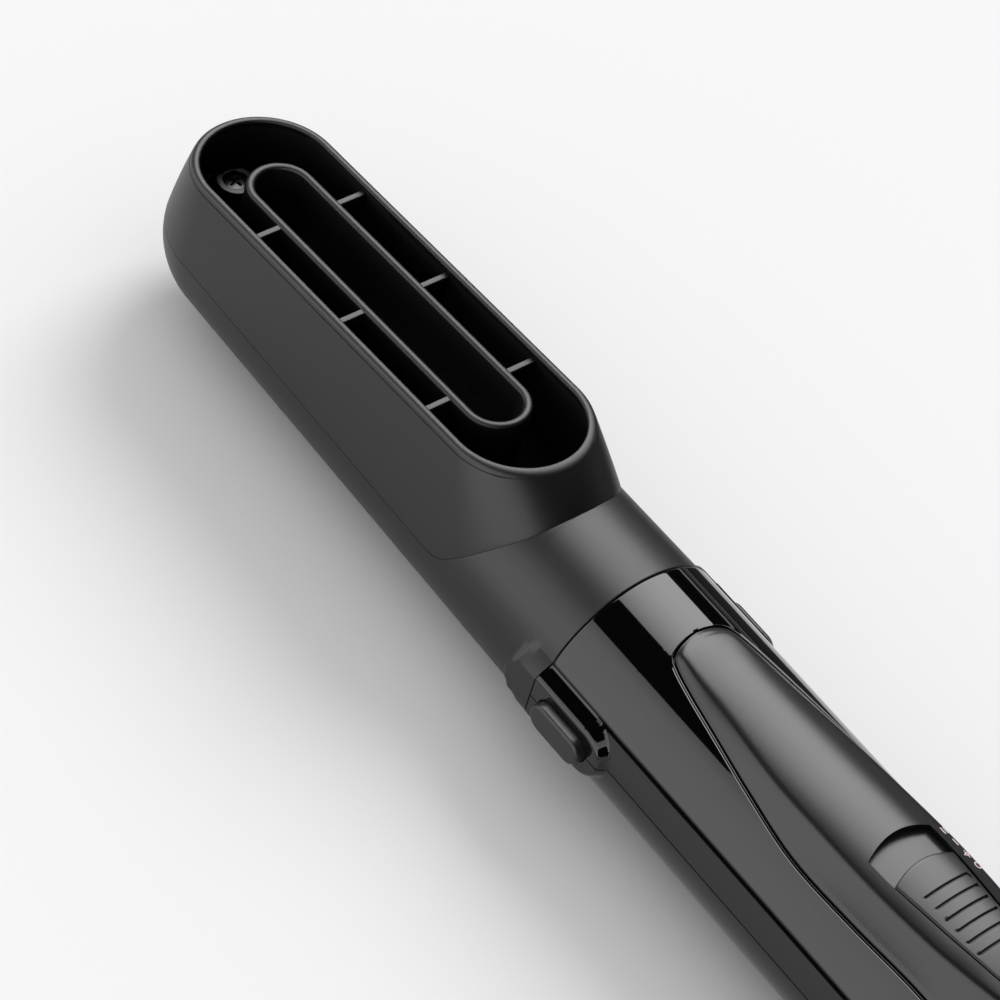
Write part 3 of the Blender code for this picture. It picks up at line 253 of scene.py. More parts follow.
def brushed(name, colour, rough, stretch):
    """Drawn metal: streaks that run across the stretch."""
    recipe = Recipe(name)
    aligned = recipe.node("ShaderNodeMapping", None, {"Vector": recipe.place(), "Scale": stretch})
    streak = recipe.noise(1.2, 4.0, aligned)
    base = recipe.mix(streak, tone(colour, 0.8), tone(colour, 1.1))
    return recipe.finish(Base_Color=base, Metallic=1.0, Roughness=rough - 0.08 + 0.16 * streak,
                         Normal=recipe.bump(streak, 0.004))


def glossy_black():
    """Polished black moulding: a clean mirror with the faintest flow ripple and a few hairline rubs."""
    recipe = Recipe("gloss_black")
    ripple = recipe.noise(7.0, 1.0)
    aligned = recipe.node("ShaderNodeMapping", None, {"Vector": recipe.place(), "Scale": (0.12, 1.0, 1.0)})
    rubs = recipe.noise(0.6, 5.0, aligned)
    base = recipe.mix(ripple, (0.0016, 0.0016, 0.0018, 1), (0.0024, 0.0024, 0.0026, 1))
    return recipe.finish(Base_Color=base, Roughness=0.03 + 0.03 * rubs, Normal=recipe.bump(ripple, 0.0015))


def mica_sheet():
    recipe = Recipe("mica")
    flakes = recipe.node("ShaderNodeTexVoronoi", None, {"Vector": recipe.place(), "Scale": 900.0}, "Distance")
    cloud = recipe.noise(5.0, 4.0)
    base = recipe.mix(cloud, (0.5, 0.38, 0.2, 1), (0.72, 0.6, 0.4, 1))
    return recipe.finish(Base_Color=base, Roughness=0.3 + 0.3 * flakes, Normal=recipe.bump(flakes, 0.03))


def circuit_green():
    recipe = Recipe("board_green")
    weave = recipe.noise(0.5, 2.0)
    cloud = recipe.noise(3.0, 2.0)
    base = recipe.mix(cloud > 0.52, (0.02, 0.12, 0.05, 1), (0.035, 0.2, 0.09, 1))
    return recipe.finish(Base_Color=base, Roughness=0.35 + 0.15 * weave, Normal=recipe.bump(weave, 0.02))


def woven_steel():
    """Fine screen: two sets of ridges that cross."""
    recipe = Recipe("woven_steel")
    one, two = [recipe.node("ShaderNodeTexWave", {"bands_direction": axis},
                            {"Vector": recipe.place(), "Scale": 320.0}, "Fac") for axis in "YZ"]
    lattice = one * two
    base = recipe.mix(lattice, (0.02, 0.02, 0.02, 1), (0.5, 0.5, 0.52, 1))
    return recipe.finish(Base_Color=base, Metallic=0.9, Roughness=0.5 - 0.15 * lattice,
                         Normal=recipe.bump(lattice, 0.2))


FINISH = {
    "nozzle": moulded("satin_black", (0.002, 0.002, 0.0021), 0.42, 0.3, 0.008),
    "inside": moulded("nozzle_inside", (0.0016, 0.0016, 0.0017), 0.55, 0.4, 0.008),
    "gloss": glossy_black(),
    "soft": moulded("soft_touch", (0.005, 0.005, 0.0052), 0.28, 0.22, 0.012),
    "knob": moulded("slider_grey", (0.012, 0.012, 0.0122), 0.29, 0.22, 0.01),
    "button": moulded("button_black", (0.006, 0.006, 0.006), 0.38, 0.25, 0.008),
    "rear": moulded("rear_black", (0.005, 0.005, 0.005), 0.45, 0.3, 0.008),
    "print": moulded("printed_mark", (0.62, 0.5, 0.5), 0.6, 0.15, 0.002),
    "rubber": moulded("rubber_black", (0.012, 0.012, 0.012), 0.65, 0.4, 0.02),
    "heat": moulded("heat_plastic", (0.045, 0.038, 0.032), 0.55, 0.4, 0.02),
    "grey": moulded("switch_grey", (0.05, 0.05, 0.052), 0.5, 0.35, 0.015),
    "white": moulded("white_plastic", (0.72, 0.71, 0.66), 0.45, 0.3, 0.01, 0.05),
    "yellow": moulded("yellow_film", (0.72, 0.46, 0.07), 0.35, 0.5, 0.01, 0.08),
    "ceramic": moulded("ceramic", (0.78, 0.75, 0.68), 0.5, 0.5, 0.02, 0.05),
    "epoxy": moulded("black_epoxy", (0.015, 0.015, 0.016), 0.4, 0.3, 0.01),
    "steel": brushed("steel", (0.56, 0.56, 0.57), 0.3, (0.05, 1.0, 1.0)),
    "screw": brushed("dark_steel", (0.05, 0.05, 0.052), 0.3, (1.0, 1.0, 0.1)),
    "wire": moulded("nichrome", (0.34, 0.31, 0.28), 0.4, 0.3, 0.006, 0.2, metallic=1.0),
    "mica": mica_sheet(),
    "board": circuit_green(),
    "screen": woven_steel(),
}

CAD_FINISH = {
    "switch_body": "white", "circuit_board": "board", "film_capacitor": "yellow", "diode_front": "epoxy",
    "diode_rear": "epoxy", "button_spring_left": "steel", "button_spring_right": "steel",
    "front_barrel": "heat", "outlet_grille": "inside", "mica_sleeve": "mica", "mica_board_level": "mica",
    "mica_board_upright": "mica", "heater_coil": "wire", "thermostat": "ceramic", "thermal_fuse": "steel",
    "fan_duct": "grey", "motor_can": "steel", "motor_end_cap": "white", "motor_rotor": "wire",
    "motor_shaft": "steel", "impeller": "grey", "filter_mesh": "screen", "housing_screw_front": "screw",
    "housing_screw_rear": "screw", "heater_lead_live": "white", "heater_lead_neutral": "white",
    "motor_lead_front": "white", "motor_lead_rear": "white",
}
for node, kind in CAD_FINISH.items():
    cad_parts[node].data.materials.clear()
    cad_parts[node].data.materials.append(FINISH[kind])


# ---------------------------------------------------------------- shape tools

def build(name, verts, faces):
    """Mesh object from points in millimetres and lists of corners, welded and facing outwards."""
    mesh = bpy.data.meshes.new(name)
    mesh.from_pydata(((verts + SEAM) * MM).tolist(), [], faces)
    work = bmesh.new()
    work.from_mesh(mesh)
    bmesh.ops.remove_doubles(work, verts=work.verts, dist=0.000001)
    if work.calc_volume(signed=True) < 0:
        bmesh.ops.reverse_faces(work, faces=work.faces)
    work.to_mesh(mesh)
    work.free()
    made = bpy.data.objects.new(name, mesh)
    bpy.context.scene.collection.objects.link(made)
    return made


def skin(name, grid, wrap_rows=False, wrap_cols=False, keep=None, capped=False):
    """Quads over a grid of points (rows, columns, 3); a wrapped direction closes on itself."""
    rows, cols = grid.shape[:2]
    index = np.arange(rows * cols).reshape(rows, cols)
    first, last = index[0].tolist(), index[-1].tolist()
    if wrap_rows:
        index = np.vstack((index, index[:1]))
    if wrap_cols:
        index = np.hstack((index, index[:, :1]))
    quads = np.stack((index[:-1, :-1], index[:-1, 1:], index[1:, 1:], index[1:, :-1]), axis=-1)
    quads = quads[keep] if keep is not None else quads.reshape(-1, 4)
    faces = quads.tolist()
    if capped:
        faces += [first[::-1], last]
    return build(name, grid.reshape(-1, 3), faces)


def shade(made, kind, angle=32):
    """Smooth shading that keeps edges sharper than an angle, and a finish."""
    made.data.materials.clear()
    made.data.materials.append(FINISH[kind])
    made.data.polygons.foreach_set("use_smooth", np.ones(len(made.data.polygons), bool))
    made.data.set_sharp_from_angle(angle=math.radians(angle))
    return made


def carve(made, *cutters):
    """The object with other solids taken out of it."""
    for cutter in cutters:
        mod = made.modifiers.new("cut", "BOOLEAN")
        mod.operation = "DIFFERENCE"
        mod.solver = "EXACT"
        mod.object = cutter
    bpy.context.view_layer.update()
    done = bpy.data.meshes.new_from_object(made.evaluated_get(bpy.context.evaluated_depsgraph_get()))
    made.modifiers.clear()
    made.data = done
    for cutter in cutters:
        bpy.data.objects.remove(cutter)
    return made


def attach(made, body, slot, *nodes):
    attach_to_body(made, body)
    if nodes:
        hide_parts(*nodes)
    return made


def eased(points, radius, steps=6):
    """Open polyline whose corners become short parabolas that start and end a radius away from each corner."""
    points = np.asarray(points, float)
    corner = points[1:-1]
    back = points[:-2] - corner
    ahead = points[2:] - corner
    back_len = np.linalg.norm(back, axis=1, keepdims=True)
    ahead_len = np.linalg.norm(ahead, axis=1, keepdims=True)
    reach = np.broadcast_to(np.asarray(radius, float).reshape(-1, 1), back_len.shape)
    start = corner + back / back_len * np.minimum(reach, back_len * 0.49)
    end = corner + ahead / ahead_len * np.minimum(reach, ahead_len * 0.49)
    t = np.linspace(0, 1, steps)[None, :, None]
    bend = (1 - t) ** 2 * start[:, None] + 2 * t * (1 - t) * corner[:, None] + t ** 2 * end[:, None]
    return np.vstack((points[:1], bend.reshape(-1, points.shape[1]), points[-1:]))


def through(knots, values, at):
    """Cubic through the knots whose slope at each knot is the slope between its two neighbours."""
    knots = np.asarray(knots, float)
    values = np.asarray(values, float)
    slope = np.empty_like(values)
    slope[1:-1] = (values[2:] - values[:-2]) / (knots[2:] - knots[:-2])
    slope[0] = (values[1] - values[0]) / (knots[1] - knots[0])
    slope[-1] = (values[-1] - values[-2]) / (knots[-1] - knots[-2])
    i = np.clip(np.searchsorted(knots, at) - 1, 0, len(knots) - 2)
    width = knots[i + 1] - knots[i]
    t = (at - knots[i]) / width
    return ((1 + 2 * t) * (1 - t) ** 2 * values[i] + t * (1 - t) ** 2 * width * slope[i]
            + t ** 2 * (3 - 2 * t) * values[i + 1] + t ** 2 * (t - 1) * width * slope[i + 1])


def turned(name, profile, steps=144, centre=None):
    """Profile of (radius, station) swept round the X axis, or round an upright line at a centre."""
    radius, along = np.asarray(profile, float).T
    angle = np.linspace(0, 2 * np.pi, steps, endpoint=False)
    a = radius[:, None] * np.sin(angle)
    b = radius[:, None] * np.cos(angle)
    along = np.repeat(along[:, None], steps, axis=1)
    grid = np.stack((along, a, b), -1) if centre is None else np.stack((a, b, along), -1) + np.array(centre)
    closed = radius[0] > 0
    return skin(name, grid, wrap_rows=closed, wrap_cols=True)


def slot_outline(reach, arc=40, straight=24):
    """Middle points of a slot's end circles and the outward directions round it: straight sides, round ends."""
    bend = np.linspace(np.pi / 2, -np.pi / 2, arc)
    side = np.linspace(-reach, reach, straight)[1:-1]
    up = np.full(len(side), np.pi / 2)
    angle = np.concatenate((up, bend, -up, bend - np.pi))
    middle = np.concatenate((side, np.full(arc, reach), -side, np.full(arc, -reach)))
    return middle, np.cos(angle), np.sin(angle)


def body_radius(x):
    """Handle radius: constant, then an S-shaped ease down to the rear."""
    t = np.clip((x - TAPER_START) / (HANDLE_END - TAPER_START), 0, 1)
    return BODY_R + (REAR_R - BODY_R) * t * t * (3 - 2 * t)


def padded(points):
    """Side lands: inside a slot outline the skin stands out to a flat face; round it a ledge slopes away at a
    constant angle until it runs into the skin, which is the higher of the two everywhere."""
    x, y, z = np.moveaxis(points, -1, 0)
    reach = (PAD_REAR - PAD_FRONT) / 2 - PAD_H / 2
    away = np.hypot(np.maximum(np.abs(x - (PAD_REAR + PAD_FRONT) / 2) - reach, 0), z) - PAD_H / 2
    level = PAD_FACE - np.maximum(away, 0) * PAD_SLOPE - 0.35 * np.clip(away / 0.7 + 1, 0, 1) ** 2
    raised = np.maximum(np.abs(y), level)
    return np.stack((x, np.where(np.abs(y) > BODY_R / 2, np.sign(y) * raised, y), z), -1)


def button_hole(side):
    """Cutter for the gap round a release button."""
    middle, nx, nz = slot_outline(BTN_LEN / 2 - BTN_H / 2, 24, 4)
    half = BTN_H / 2 + GAP
    rows = [np.stack((BTN_X + middle + half * nx, np.full(len(nx), side * y), half * nz), -1) for y in (15.0, 30.0)]
    return skin("button_hole", np.array(rows), wrap_cols=True, capped=True)


# ---------------------------------------------------------------- nozzle

JOINT_LINE = eased(JOINT, 1.4)


def joint_x(z):
    return np.interp(z, JOINT_LINE[:, 1], JOINT_LINE[:, 0])


def joint_z(x):
    return np.interp(x, JOINT_LINE[:, 0], JOINT_LINE[:, 1], right=1000.0)


def nozzle_radius(x):
    """Slow taper from the collar, then a quarter ellipse over the end."""
    start = -NOZ_LEN + NOZ_ROUND
    t = np.clip((start - x) / NOZ_ROUND, 0, 1)
    return np.where(x >= start, NOZ_R + (NOZ_R_TIP - NOZ_R) * (x / start), NOZ_R_TIP * np.sqrt(1 - t * t))


def make_nozzle_base():
    """Half shell: at each station an arc from one joint edge round the underside to the other, and back inside."""
    start = -NOZ_LEN + NOZ_ROUND
    mouth = -GAP / 2 - EDGE_R * (1 - np.cos(np.linspace(0, np.pi / 2, 6)))
    turn = np.linspace(0, np.pi / 2, 40)
    x = np.concatenate((mouth, np.linspace(-0.7, -13, 46), np.linspace(-13.4, -39.5, 90),
                        np.linspace(-41, start, 40), start - NOZ_ROUND * np.sin(turn[1:])))
    r = np.concatenate((NOZ_R - EDGE_R * (1 - np.sin(np.linspace(0, np.pi / 2, 6))), nozzle_radius(x[6:])))
    bore = np.interp(-x, (0, 26.0, 31.0, 33.0), (BORE_R, BORE_R, NOZ_R - NOZ_WALL - 0.5, NOZ_R - NOZ_WALL - 0.5))
    inner = np.minimum(bore, np.maximum(r - NOZ_WALL, 0.0))
    inner_x = np.where(x < start, start - (NOZ_ROUND - NOZ_WALL) * (start - x) / NOZ_ROUND, x)
    side = 1 - np.cos(np.linspace(0, np.pi / 2, 60))
    share = np.concatenate((0.5 * side, 1 - 0.5 * side[-2::-1]))
    arcs = []
    for station, radius in ((x, r), (inner_x, inner)):
        limit = joint_z(x) - JOINT_GAP / 2
        edge = np.arccos(np.clip(limit / np.maximum(radius, 1e-6), -1, 1))
        angle = edge[:, None] + share[None, :] * (2 * np.pi - 2 * edge[:, None])
        arcs.append(np.stack((np.repeat(station[:, None], len(share), 1), radius[:, None] * np.sin(angle),
                              radius[:, None] * np.cos(angle)), -1))
    outer = padded(arcs[0])
    grid = np.concatenate((outer, arcs[1][:, ::-1]), axis=1)
    closed = joint_z(x) > NOZ_R
    keep = np.ones((len(x) - 1, grid.shape[1]), bool)
    both = closed[:-1] & closed[1:]
    keep[both, len(share) - 1] = False
    keep[both, -1] = False
    base = skin("nozzle_base_skin", grid, wrap_cols=True, keep=keep)
    work = bmesh.new()
    work.from_mesh(base.data)
    open_edges = [edge for edge in work.edges if edge.is_boundary]
    bmesh.ops.bridge_loops(work, edges=[e for e in open_edges if abs(e.verts[0].co.x / MM - SEAM[0]) < 1])
    bmesh.ops.recalc_face_normals(work, faces=work.faces)
    work.to_mesh(base.data)
    work.free()
    return attach(shade(base, "nozzle"), "nozzle", "matt_black", "nozzle_base")


def cup_lines(inset):
    """Rim line and joint line of the cup at an inset, matched point for point round the cup."""
    start = -NOZ_LEN + NOZ_ROUND
    rim_half = RIM_HALF - inset
    t = np.linspace(0, 1, 60)
    turn = t * np.pi / 2
    top_near = np.stack((RIM_NEAR - RIM_HALF + rim_half * np.cos(turn), rim_half * np.sin(turn)), -1)
    wide = t * np.arccos(SEAM_Z / (NOZ_R - inset))
    x = joint_x((NOZ_R - inset) * np.cos(wide))
    for _ in range(5):
        x = joint_x((nozzle_radius(x) - inset) * np.cos(wide))
    r = nozzle_radius(x) - inset
    low_near = np.stack((x, r * np.sin(wide), np.maximum(r * np.cos(wide), SEAM_Z)), -1)
    s = np.linspace(0, 1, 50)[1:-1]
    side_x = x[-1] + (start - x[-1]) * s
    low_side = np.stack((side_x, np.sqrt((nozzle_radius(side_x) - inset) ** 2 - SEAM_Z ** 2),
                         np.full(len(s), SEAM_Z)), -1)
    ends = (RIM_NEAR - RIM_HALF, RIM_TIP + RIM_HALF)
    top_side = np.stack((ends[0] + (ends[1] - ends[0]) * s, np.full(len(s), rim_half)), -1)
    top_tip = np.stack((ends[1] - rim_half * np.sin(turn), rim_half * np.cos(turn)), -1)
    low_r = NOZ_R_TIP - inset
    low_tip = np.stack((start - (NOZ_ROUND - inset) * np.sin(turn),
                        np.sqrt(low_r ** 2 - SEAM_Z ** 2) * np.cos(turn), np.full(len(t), SEAM_Z)), -1)
    top = np.vstack((top_near, top_side, top_tip))
    low = np.vstack((low_near, low_side, low_tip))
    top = np.column_stack((top, RIM_Z + RIM_SLOPE * (top[:, 0] - RIM_NEAR)))
    flip = np.array((1, -1, 1))
    return np.vstack((top, (top * flip)[-2:0:-1])), np.vstack((low, (low * flip)[-2:0:-1]))


def make_nozzle_cup():
    """Wall profile of (inset, depth below the rim) carried round; depth runs along the line from rim to joint."""
    bead = 1.0
    turn = np.linspace(0, np.pi, 13)
    foot = [(0.02, 1e9)]
    outer = [(0.0, -share) for share in np.linspace(0.99, 0.1, 12)]
    step = [(0.0, 1.75), (0.22, 1.65), (0.24, 1.45), (0.03, 1.3)]
    lip = [(bead - (bead - 0.03) * math.cos(a), 0.85 - 0.85 * math.sin(a)) for a in turn]
    inner = [(CUP_WALL, 2.0)] + [(CUP_WALL, -share) for share in np.linspace(0.12, 1.0, 8)]
    rows = []
    for inset, depth in foot + outer + step + lip + inner:
        top, low = cup_lines(inset)
        low = low + np.array((0, 0, JOINT_GAP / 2))
        length = np.linalg.norm(top - low, axis=1)
        share = np.ones(len(top)) if depth > 1e8 else (np.full(len(top), -depth) if depth < 0 else depth / length)
        point = top + (low - top) * share[:, None]
        out = np.stack((top[:, 0] - np.clip(top[:, 0], RIM_TIP + RIM_HALF, RIM_NEAR - RIM_HALF), top[:, 1]), -1)
        out = out / np.maximum(np.linalg.norm(out, axis=1, keepdims=True), 1e-9)
        swell = CUP_BULGE * 4 * share * (1 - share)
        rows.append(point + np.column_stack((out * swell[:, None], np.zeros(len(top)))))
    cup = shade(skin("nozzle_cup_skin", np.array(rows), wrap_rows=True, wrap_cols=True), "nozzle", 40)
    cup.data.materials.append(FINISH["inside"])
    centre = np.array([p.center for p in cup.data.polygons]) / MM - SEAM
    normal = np.array([p.normal for p in cup.data.polygons])
    to_axis = np.stack((centre[:, 0] - np.clip(centre[:, 0], RIM_TIP + RIM_HALF, RIM_NEAR - RIM_HALF),
                        centre[:, 1]), -1)
    below = RIM_Z + RIM_SLOPE * (centre[:, 0] - RIM_NEAR) - centre[:, 2] > 1.4
    facing_in = (normal[:, :2] * to_axis).sum(1) < 0
    cup.data.polygons.foreach_set("material_index", (below & facing_in).astype(np.int32))
    return attach(cup, "nozzle", "matt_black", "nozzle_cup")


def rim_plane(x):
    return RIM_Z + RIM_SLOPE * (x - RIM_NEAR)


def make_ring():
    """Rounded wall profile carried round a slot, its top parallel to the rim."""
    middle = (RING_NEAR + RING_TIP) / 2
    centre, nx, ny = slot_outline((RING_NEAR - RING_TIP) / 2 - RING_HALF, 48, 12)
    turn = np.linspace(0, np.pi, 13)
    profile = [(1.0, -RING_DEPTH), (1.0, -6.0)] + [(math.cos(a), -0.9 + 0.9 * math.sin(a)) for a in turn]
    profile += [(-1.0, -6.0), (-1.0, -RING_DEPTH)]
    rows = []
    for offset, height in profile:
        x = middle + centre + (RING_HALF + offset) * nx
        rows.append(np.stack((x, (RING_HALF + offset) * ny, rim_plane(x) - RING_DROP + height), -1))
    return attach(shade(skin("outlet_ring", np.array(rows), wrap_rows=True, wrap_cols=True), "nozzle", 50),
                  "nozzle", "matt_black")


def make_ribs():
    """Six bars between ring and wall: a rounded-top profile pushed along Y."""
    turn = np.linspace(0, np.pi, 7)
    half = RIB_T / 2
    profile = [(half, -RIB_DEPTH)] + [(half - 0.3 + 0.3 * math.cos(a), -0.3 + 0.3 * math.sin(a)) for a in turn[:4]]
    profile += [(-half + 0.3 + 0.3 * math.cos(a), -0.3 + 0.3 * math.sin(a)) for a in turn[3:]]
    profile += [(-half, -RIB_DEPTH)]
    profile = np.array(profile)
    for i, x in enumerate(RIB_X):
        for side, word in ((-1, "left"), (1, "right")):
            rows = [np.column_stack((x + profile[:, 0], np.full(len(profile), side * y),
                                     rim_plane(x) - RIB_DROP + profile[:, 1])) for y in (7.4, 14.6)]
            rib = skin("outlet_rib_%d_%s" % (i + 1, word), np.array(rows), wrap_cols=True, capped=True)
            attach(shade(rib, "nozzle"), "nozzle", "matt_black")


def make_screw_boss():
    """D-shaped boss: rings of (share of the outline, radius of the hole, height) joined from foot to floor."""
    angle = np.linspace(0, 2 * np.pi, 96, endpoint=False)
    flat = np.where(np.cos(angle) < -0.01, 2.9 / np.maximum(-np.cos(angle), 1e-3), 99.0)
    outline = np.minimum(4.3, flat)
    rings = [(outline, 2.0), (outline, 8.45), (outline - 0.12, 8.7), (outline - 0.4, 8.8),
             (np.full(96, 3.0), 8.8), (np.full(96, 2.8), 8.6), (np.full(96, 2.75), 6.2), (np.zeros(96), 6.2)]
    rows = [np.stack((SCREW_X + r * np.cos(angle), r * np.sin(angle), np.full(96, z)), -1) for r, z in rings]
    rows.insert(0, np.stack((np.full(96, SCREW_X), np.zeros(96), np.full(96, 2.0)), -1))
    boss = skin("screw_boss", np.array(rows), wrap_cols=True)
    return attach(shade(boss, "nozzle"), "nozzle", "matt_black")


def make_screw():
    """Pan head: a dome over rings, with a cross-shaped pit where a point is close to either slot."""
    radius = np.concatenate((np.linspace(0, 2.3, 34), (2.42, 2.45)))
    angle = np.linspace(0, 2 * np.pi, 128, endpoint=False)
    height = 8.25 - 0.35 * (radius / 2.3) ** 2 - np.where(radius > 2.31, 0.4 * (radius - 2.3) / 0.15, 0)
    x = radius[:, None] * np.cos(angle)
    y = radius[:, None] * np.sin(angle)
    arm = np.minimum(np.maximum(np.abs(x) / 1.45, np.abs(y) / 0.34), np.maximum(np.abs(y) / 1.45, np.abs(x) / 0.34))
    pit = np.clip((1.15 - arm) / 0.35, 0, 1) * 0.85
    z = height[:, None] - pit
    spin = math.radians(20)
    head = np.stack((SCREW_X + x * math.cos(spin) - y * math.sin(spin),
                     x * math.sin(spin) + y * math.cos(spin), z), -1)
    shank = [(2.45, 6.35), (1.1, 6.35), (1.1, -5.6), (0.0, -6.6)]
    rows = [np.stack((SCREW_X + r * np.cos(angle), r * np.sin(angle), np.full(128, h)), -1) for r, h in shank]
    screw = skin("nozzle_screw_head", np.concatenate((head, np.array(rows))), wrap_cols=True)
    return attach(shade(screw, "screw"), "nozzle", "dark_steel", "nozzle_screw")


# ---------------------------------------------------------------- handle

TABLE = np.array(PANEL)
CHORD = np.concatenate(((0,), np.cumsum(np.hypot(np.diff(TABLE[:, 0]), np.diff(TABLE[:, 1])))))


def panel_rows(at):
    """Panel table read smoothly along its outline, mirrored past nose and tail so that both come out round."""
    knots = np.concatenate((-CHORD[2:0:-1], CHORD, 2 * CHORD[-1] - CHORD[-2:-4:-1]))
    mirror = TABLE * np.array((1, -1, 1, -1, 1, 1))
    values = np.vstack((mirror[2:0:-1], TABLE, mirror[-2:-4:-1]))
    rows = np.stack([through(knots, column, at) for column in values.T], -1)
    ahead = np.stack([through(knots, column, at + 0.01) for column in values.T[:2]], -1)
    back = np.stack([through(knots, column, at - 0.01) for column in values.T[:2]], -1)
    tangent = (ahead - back) / np.linalg.norm(ahead - back, axis=1, keepdims=True)
    outward = np.stack((-tangent[:, 1], tangent[:, 0]), -1)
    return rows, outward


ALONG = np.concatenate((np.linspace(0, 12, 50), np.linspace(12.4, CHORD[-1] - 9, 150),
                        np.linspace(CHORD[-1] - 8.7, CHORD[-1], 30)))


def make_upper_housing():
    """Rows from the seam to the rear; each runs over the skin from side to side, dips under the panel where there
    is one, and comes back along the inside."""
    rows, outward = panel_rows(ALONG)
    nose, tail = rows[0, 0], rows[-1, 0]
    bend = np.linspace(0, np.pi / 2, 6)
    mouth = GAP / 2 + EDGE_R * (1 - np.cos(bend))
    lead = np.concatenate((mouth, np.linspace(0.8, nose - LIP_R - 0.25, 48)))
    after = np.concatenate((np.linspace(tail + LIP_R + 0.3, HANDLE_END - 0.3, 40), (HANDLE_END,)))
    edge_x = np.concatenate((lead, rows[:, 0], after))
    half = np.concatenate((np.zeros(len(lead)), rows[:, 1], np.zeros(len(after))))
    out = np.vstack((np.zeros((len(lead), 2)), outward, np.zeros((len(after), 2))))
    sunk = np.concatenate((np.zeros(len(lead)), np.ones(len(rows)), np.zeros(len(after))))
    half = np.maximum(half, 0)
    shrink = np.zeros(len(edge_x))
    shrink[:6] = EDGE_R * (1 - np.sin(bend))
    turn = np.linspace(np.pi / 2, 0, 6)
    lip_x = edge_x[:, None] + out[:, :1] * LIP_R * (1 - np.cos(turn))[::-1][None] * sunk[:, None]
    lip_y = half[:, None] + out[:, 1:] * LIP_R * (1 - np.cos(turn))[::-1][None] * sunk[:, None]
    lip_drop = LIP_R * (1 - np.sin(turn))[::-1][None] * sunk[:, None]
    lip_y = np.maximum(lip_y, 0)
    row_r = body_radius(edge_x) - shrink
    lip_r = row_r[:, None] - lip_drop
    lip_z = np.sqrt(lip_r ** 2 - lip_y ** 2)
    lips = np.stack((lip_x, lip_y, lip_z), -1)
    wall_r = row_r - SEAT_DEPTH * sunk
    wall = np.stack((edge_x, half, np.sqrt(wall_r ** 2 - half ** 2)), -1)[:, None]
    stop = np.pi / 2 - np.arcsin(GAP / 2 / row_r)
    first = np.arcsin(lip_y[:, 0] / lip_r[:, 0])
    share = np.concatenate((np.linspace(0, 1, 27)[1:] * 0.68, np.linspace(0.68, 1, 34)[1:]))
    angle = first[:, None] + (stop - first)[:, None] * share[None]
    arc_x = edge_x[:, None] + (lip_x[:, :1] - edge_x[:, None]) * (1 - share[None]) ** 3
    arc_r = np.repeat(row_r[:, None], len(share), 1)
    arc = np.stack((arc_x, arc_r * np.sin(angle), arc_r * np.cos(angle)), -1)
    arc = padded(arc)
    flip = np.array((1, -1, 1))
    across = np.linspace(1, -1, 9)[None, 1:-1]
    floor_y = half[:, None] * across
    floor = np.stack((np.repeat(edge_x[:, None], 7, 1), floor_y, np.sqrt(wall_r[:, None] ** 2 - floor_y ** 2)), -1)
    inner_r = body_radius(edge_x) - WALL
    inner_stop = np.pi / 2 - np.arcsin(GAP / 2 / inner_r)
    inner_angle = inner_stop[:, None] * np.linspace(-1, 1, 33)[None]
    inside = np.stack((np.repeat(edge_x[:, None], 33, 1), inner_r[:, None] * np.sin(inner_angle),
                       inner_r[:, None] * np.cos(inner_angle)), -1)
    right = np.concatenate((arc[:, ::-1], lips, wall), 1)
    left = (right * flip)[:, ::-1]
    grid = np.concatenate((right, floor, left, inside), 1)
    keep = np.ones((len(edge_x) - 1, grid.shape[1]), bool)
    middle = slice(len(share), len(share) + 2 * (lips.shape[1] + 1) + 7 - 1)
    jumps = np.flatnonzero(np.diff(sunk) != 0)
    keep[jumps, middle] = False
    shell = skin("upper_housing_skin", grid, wrap_cols=True, keep=keep, capped=True)
    carve(shell, button_hole(1), button_hole(-1))
    return attach(shade(shell, "gloss", 28), "handle", "gloss_black", "upper_housing")


def make_lower_housing():
    """Same skin below the parting plane, with a flat along the underside and two screw wells."""
    bend = np.linspace(0, np.pi / 2, 6)
    x = np.concatenate((GAP / 2 + EDGE_R * (1 - np.cos(bend)), np.linspace(0.8, 23, 72), np.linspace(24, 139, 60),
                        np.linspace(140, HANDLE_END, 40)))
    r = body_radius(x)
    r[:6] -= EDGE_R * (1 - np.sin(bend))
    inner = body_radius(x) - WALL
    share = np.concatenate((np.linspace(0, 0.16, 33), np.linspace(0.17, 0.83, 70), np.linspace(0.84, 1, 33)))
    grids = []
    for radius, part in ((r, share), (inner, np.linspace(1, 0, 41))):
        first = np.pi / 2 + np.arcsin(GAP / 2 / radius)
        angle = first[:, None] + (2 * np.pi - 2 * first)[:, None] * part[None]
        grids.append(np.stack((np.repeat(x[:, None], len(part), 1), radius[:, None] * np.sin(angle),
                               radius[:, None] * np.cos(angle)), -1))
    outer = padded(grids[0])
    outer[..., 2] = np.maximum(outer[..., 2], -BODY_R + FLAT_DROP)
    shell = skin("lower_housing_skin", np.concatenate((outer, grids[1]), 1), wrap_cols=True, capped=True)
    wells = [turned("well", ((0, -30), (WELL_R, -30), (WELL_R, -17), (0, -17)), 48, (station, 0, 0))
             for station in HOUSING_SCREWS]
    carve(shell, button_hole(1), button_hole(-1), *wells)
    attach(shade(shell, "gloss", 28), "handle", "gloss_black", "lower_housing")
    for i, station in enumerate(HOUSING_SCREWS):
        foot = -float(body_radius(station)) + 0.55
        profile = ((WELL_R + WELL_WALL, -15.2), (WELL_R + WELL_WALL, foot + 1.2), (WELL_R, foot + 1.2),
                   (WELL_R, foot + 5.5), (1.6, foot + 5.5), (1.6, -15.2))
        sleeve = turned("screw_sleeve_%d" % (i + 1), profile[::-1], 48, (station, 0, 0))
        attach(shade(sleeve, "rear"), "handle", "gloss_black")


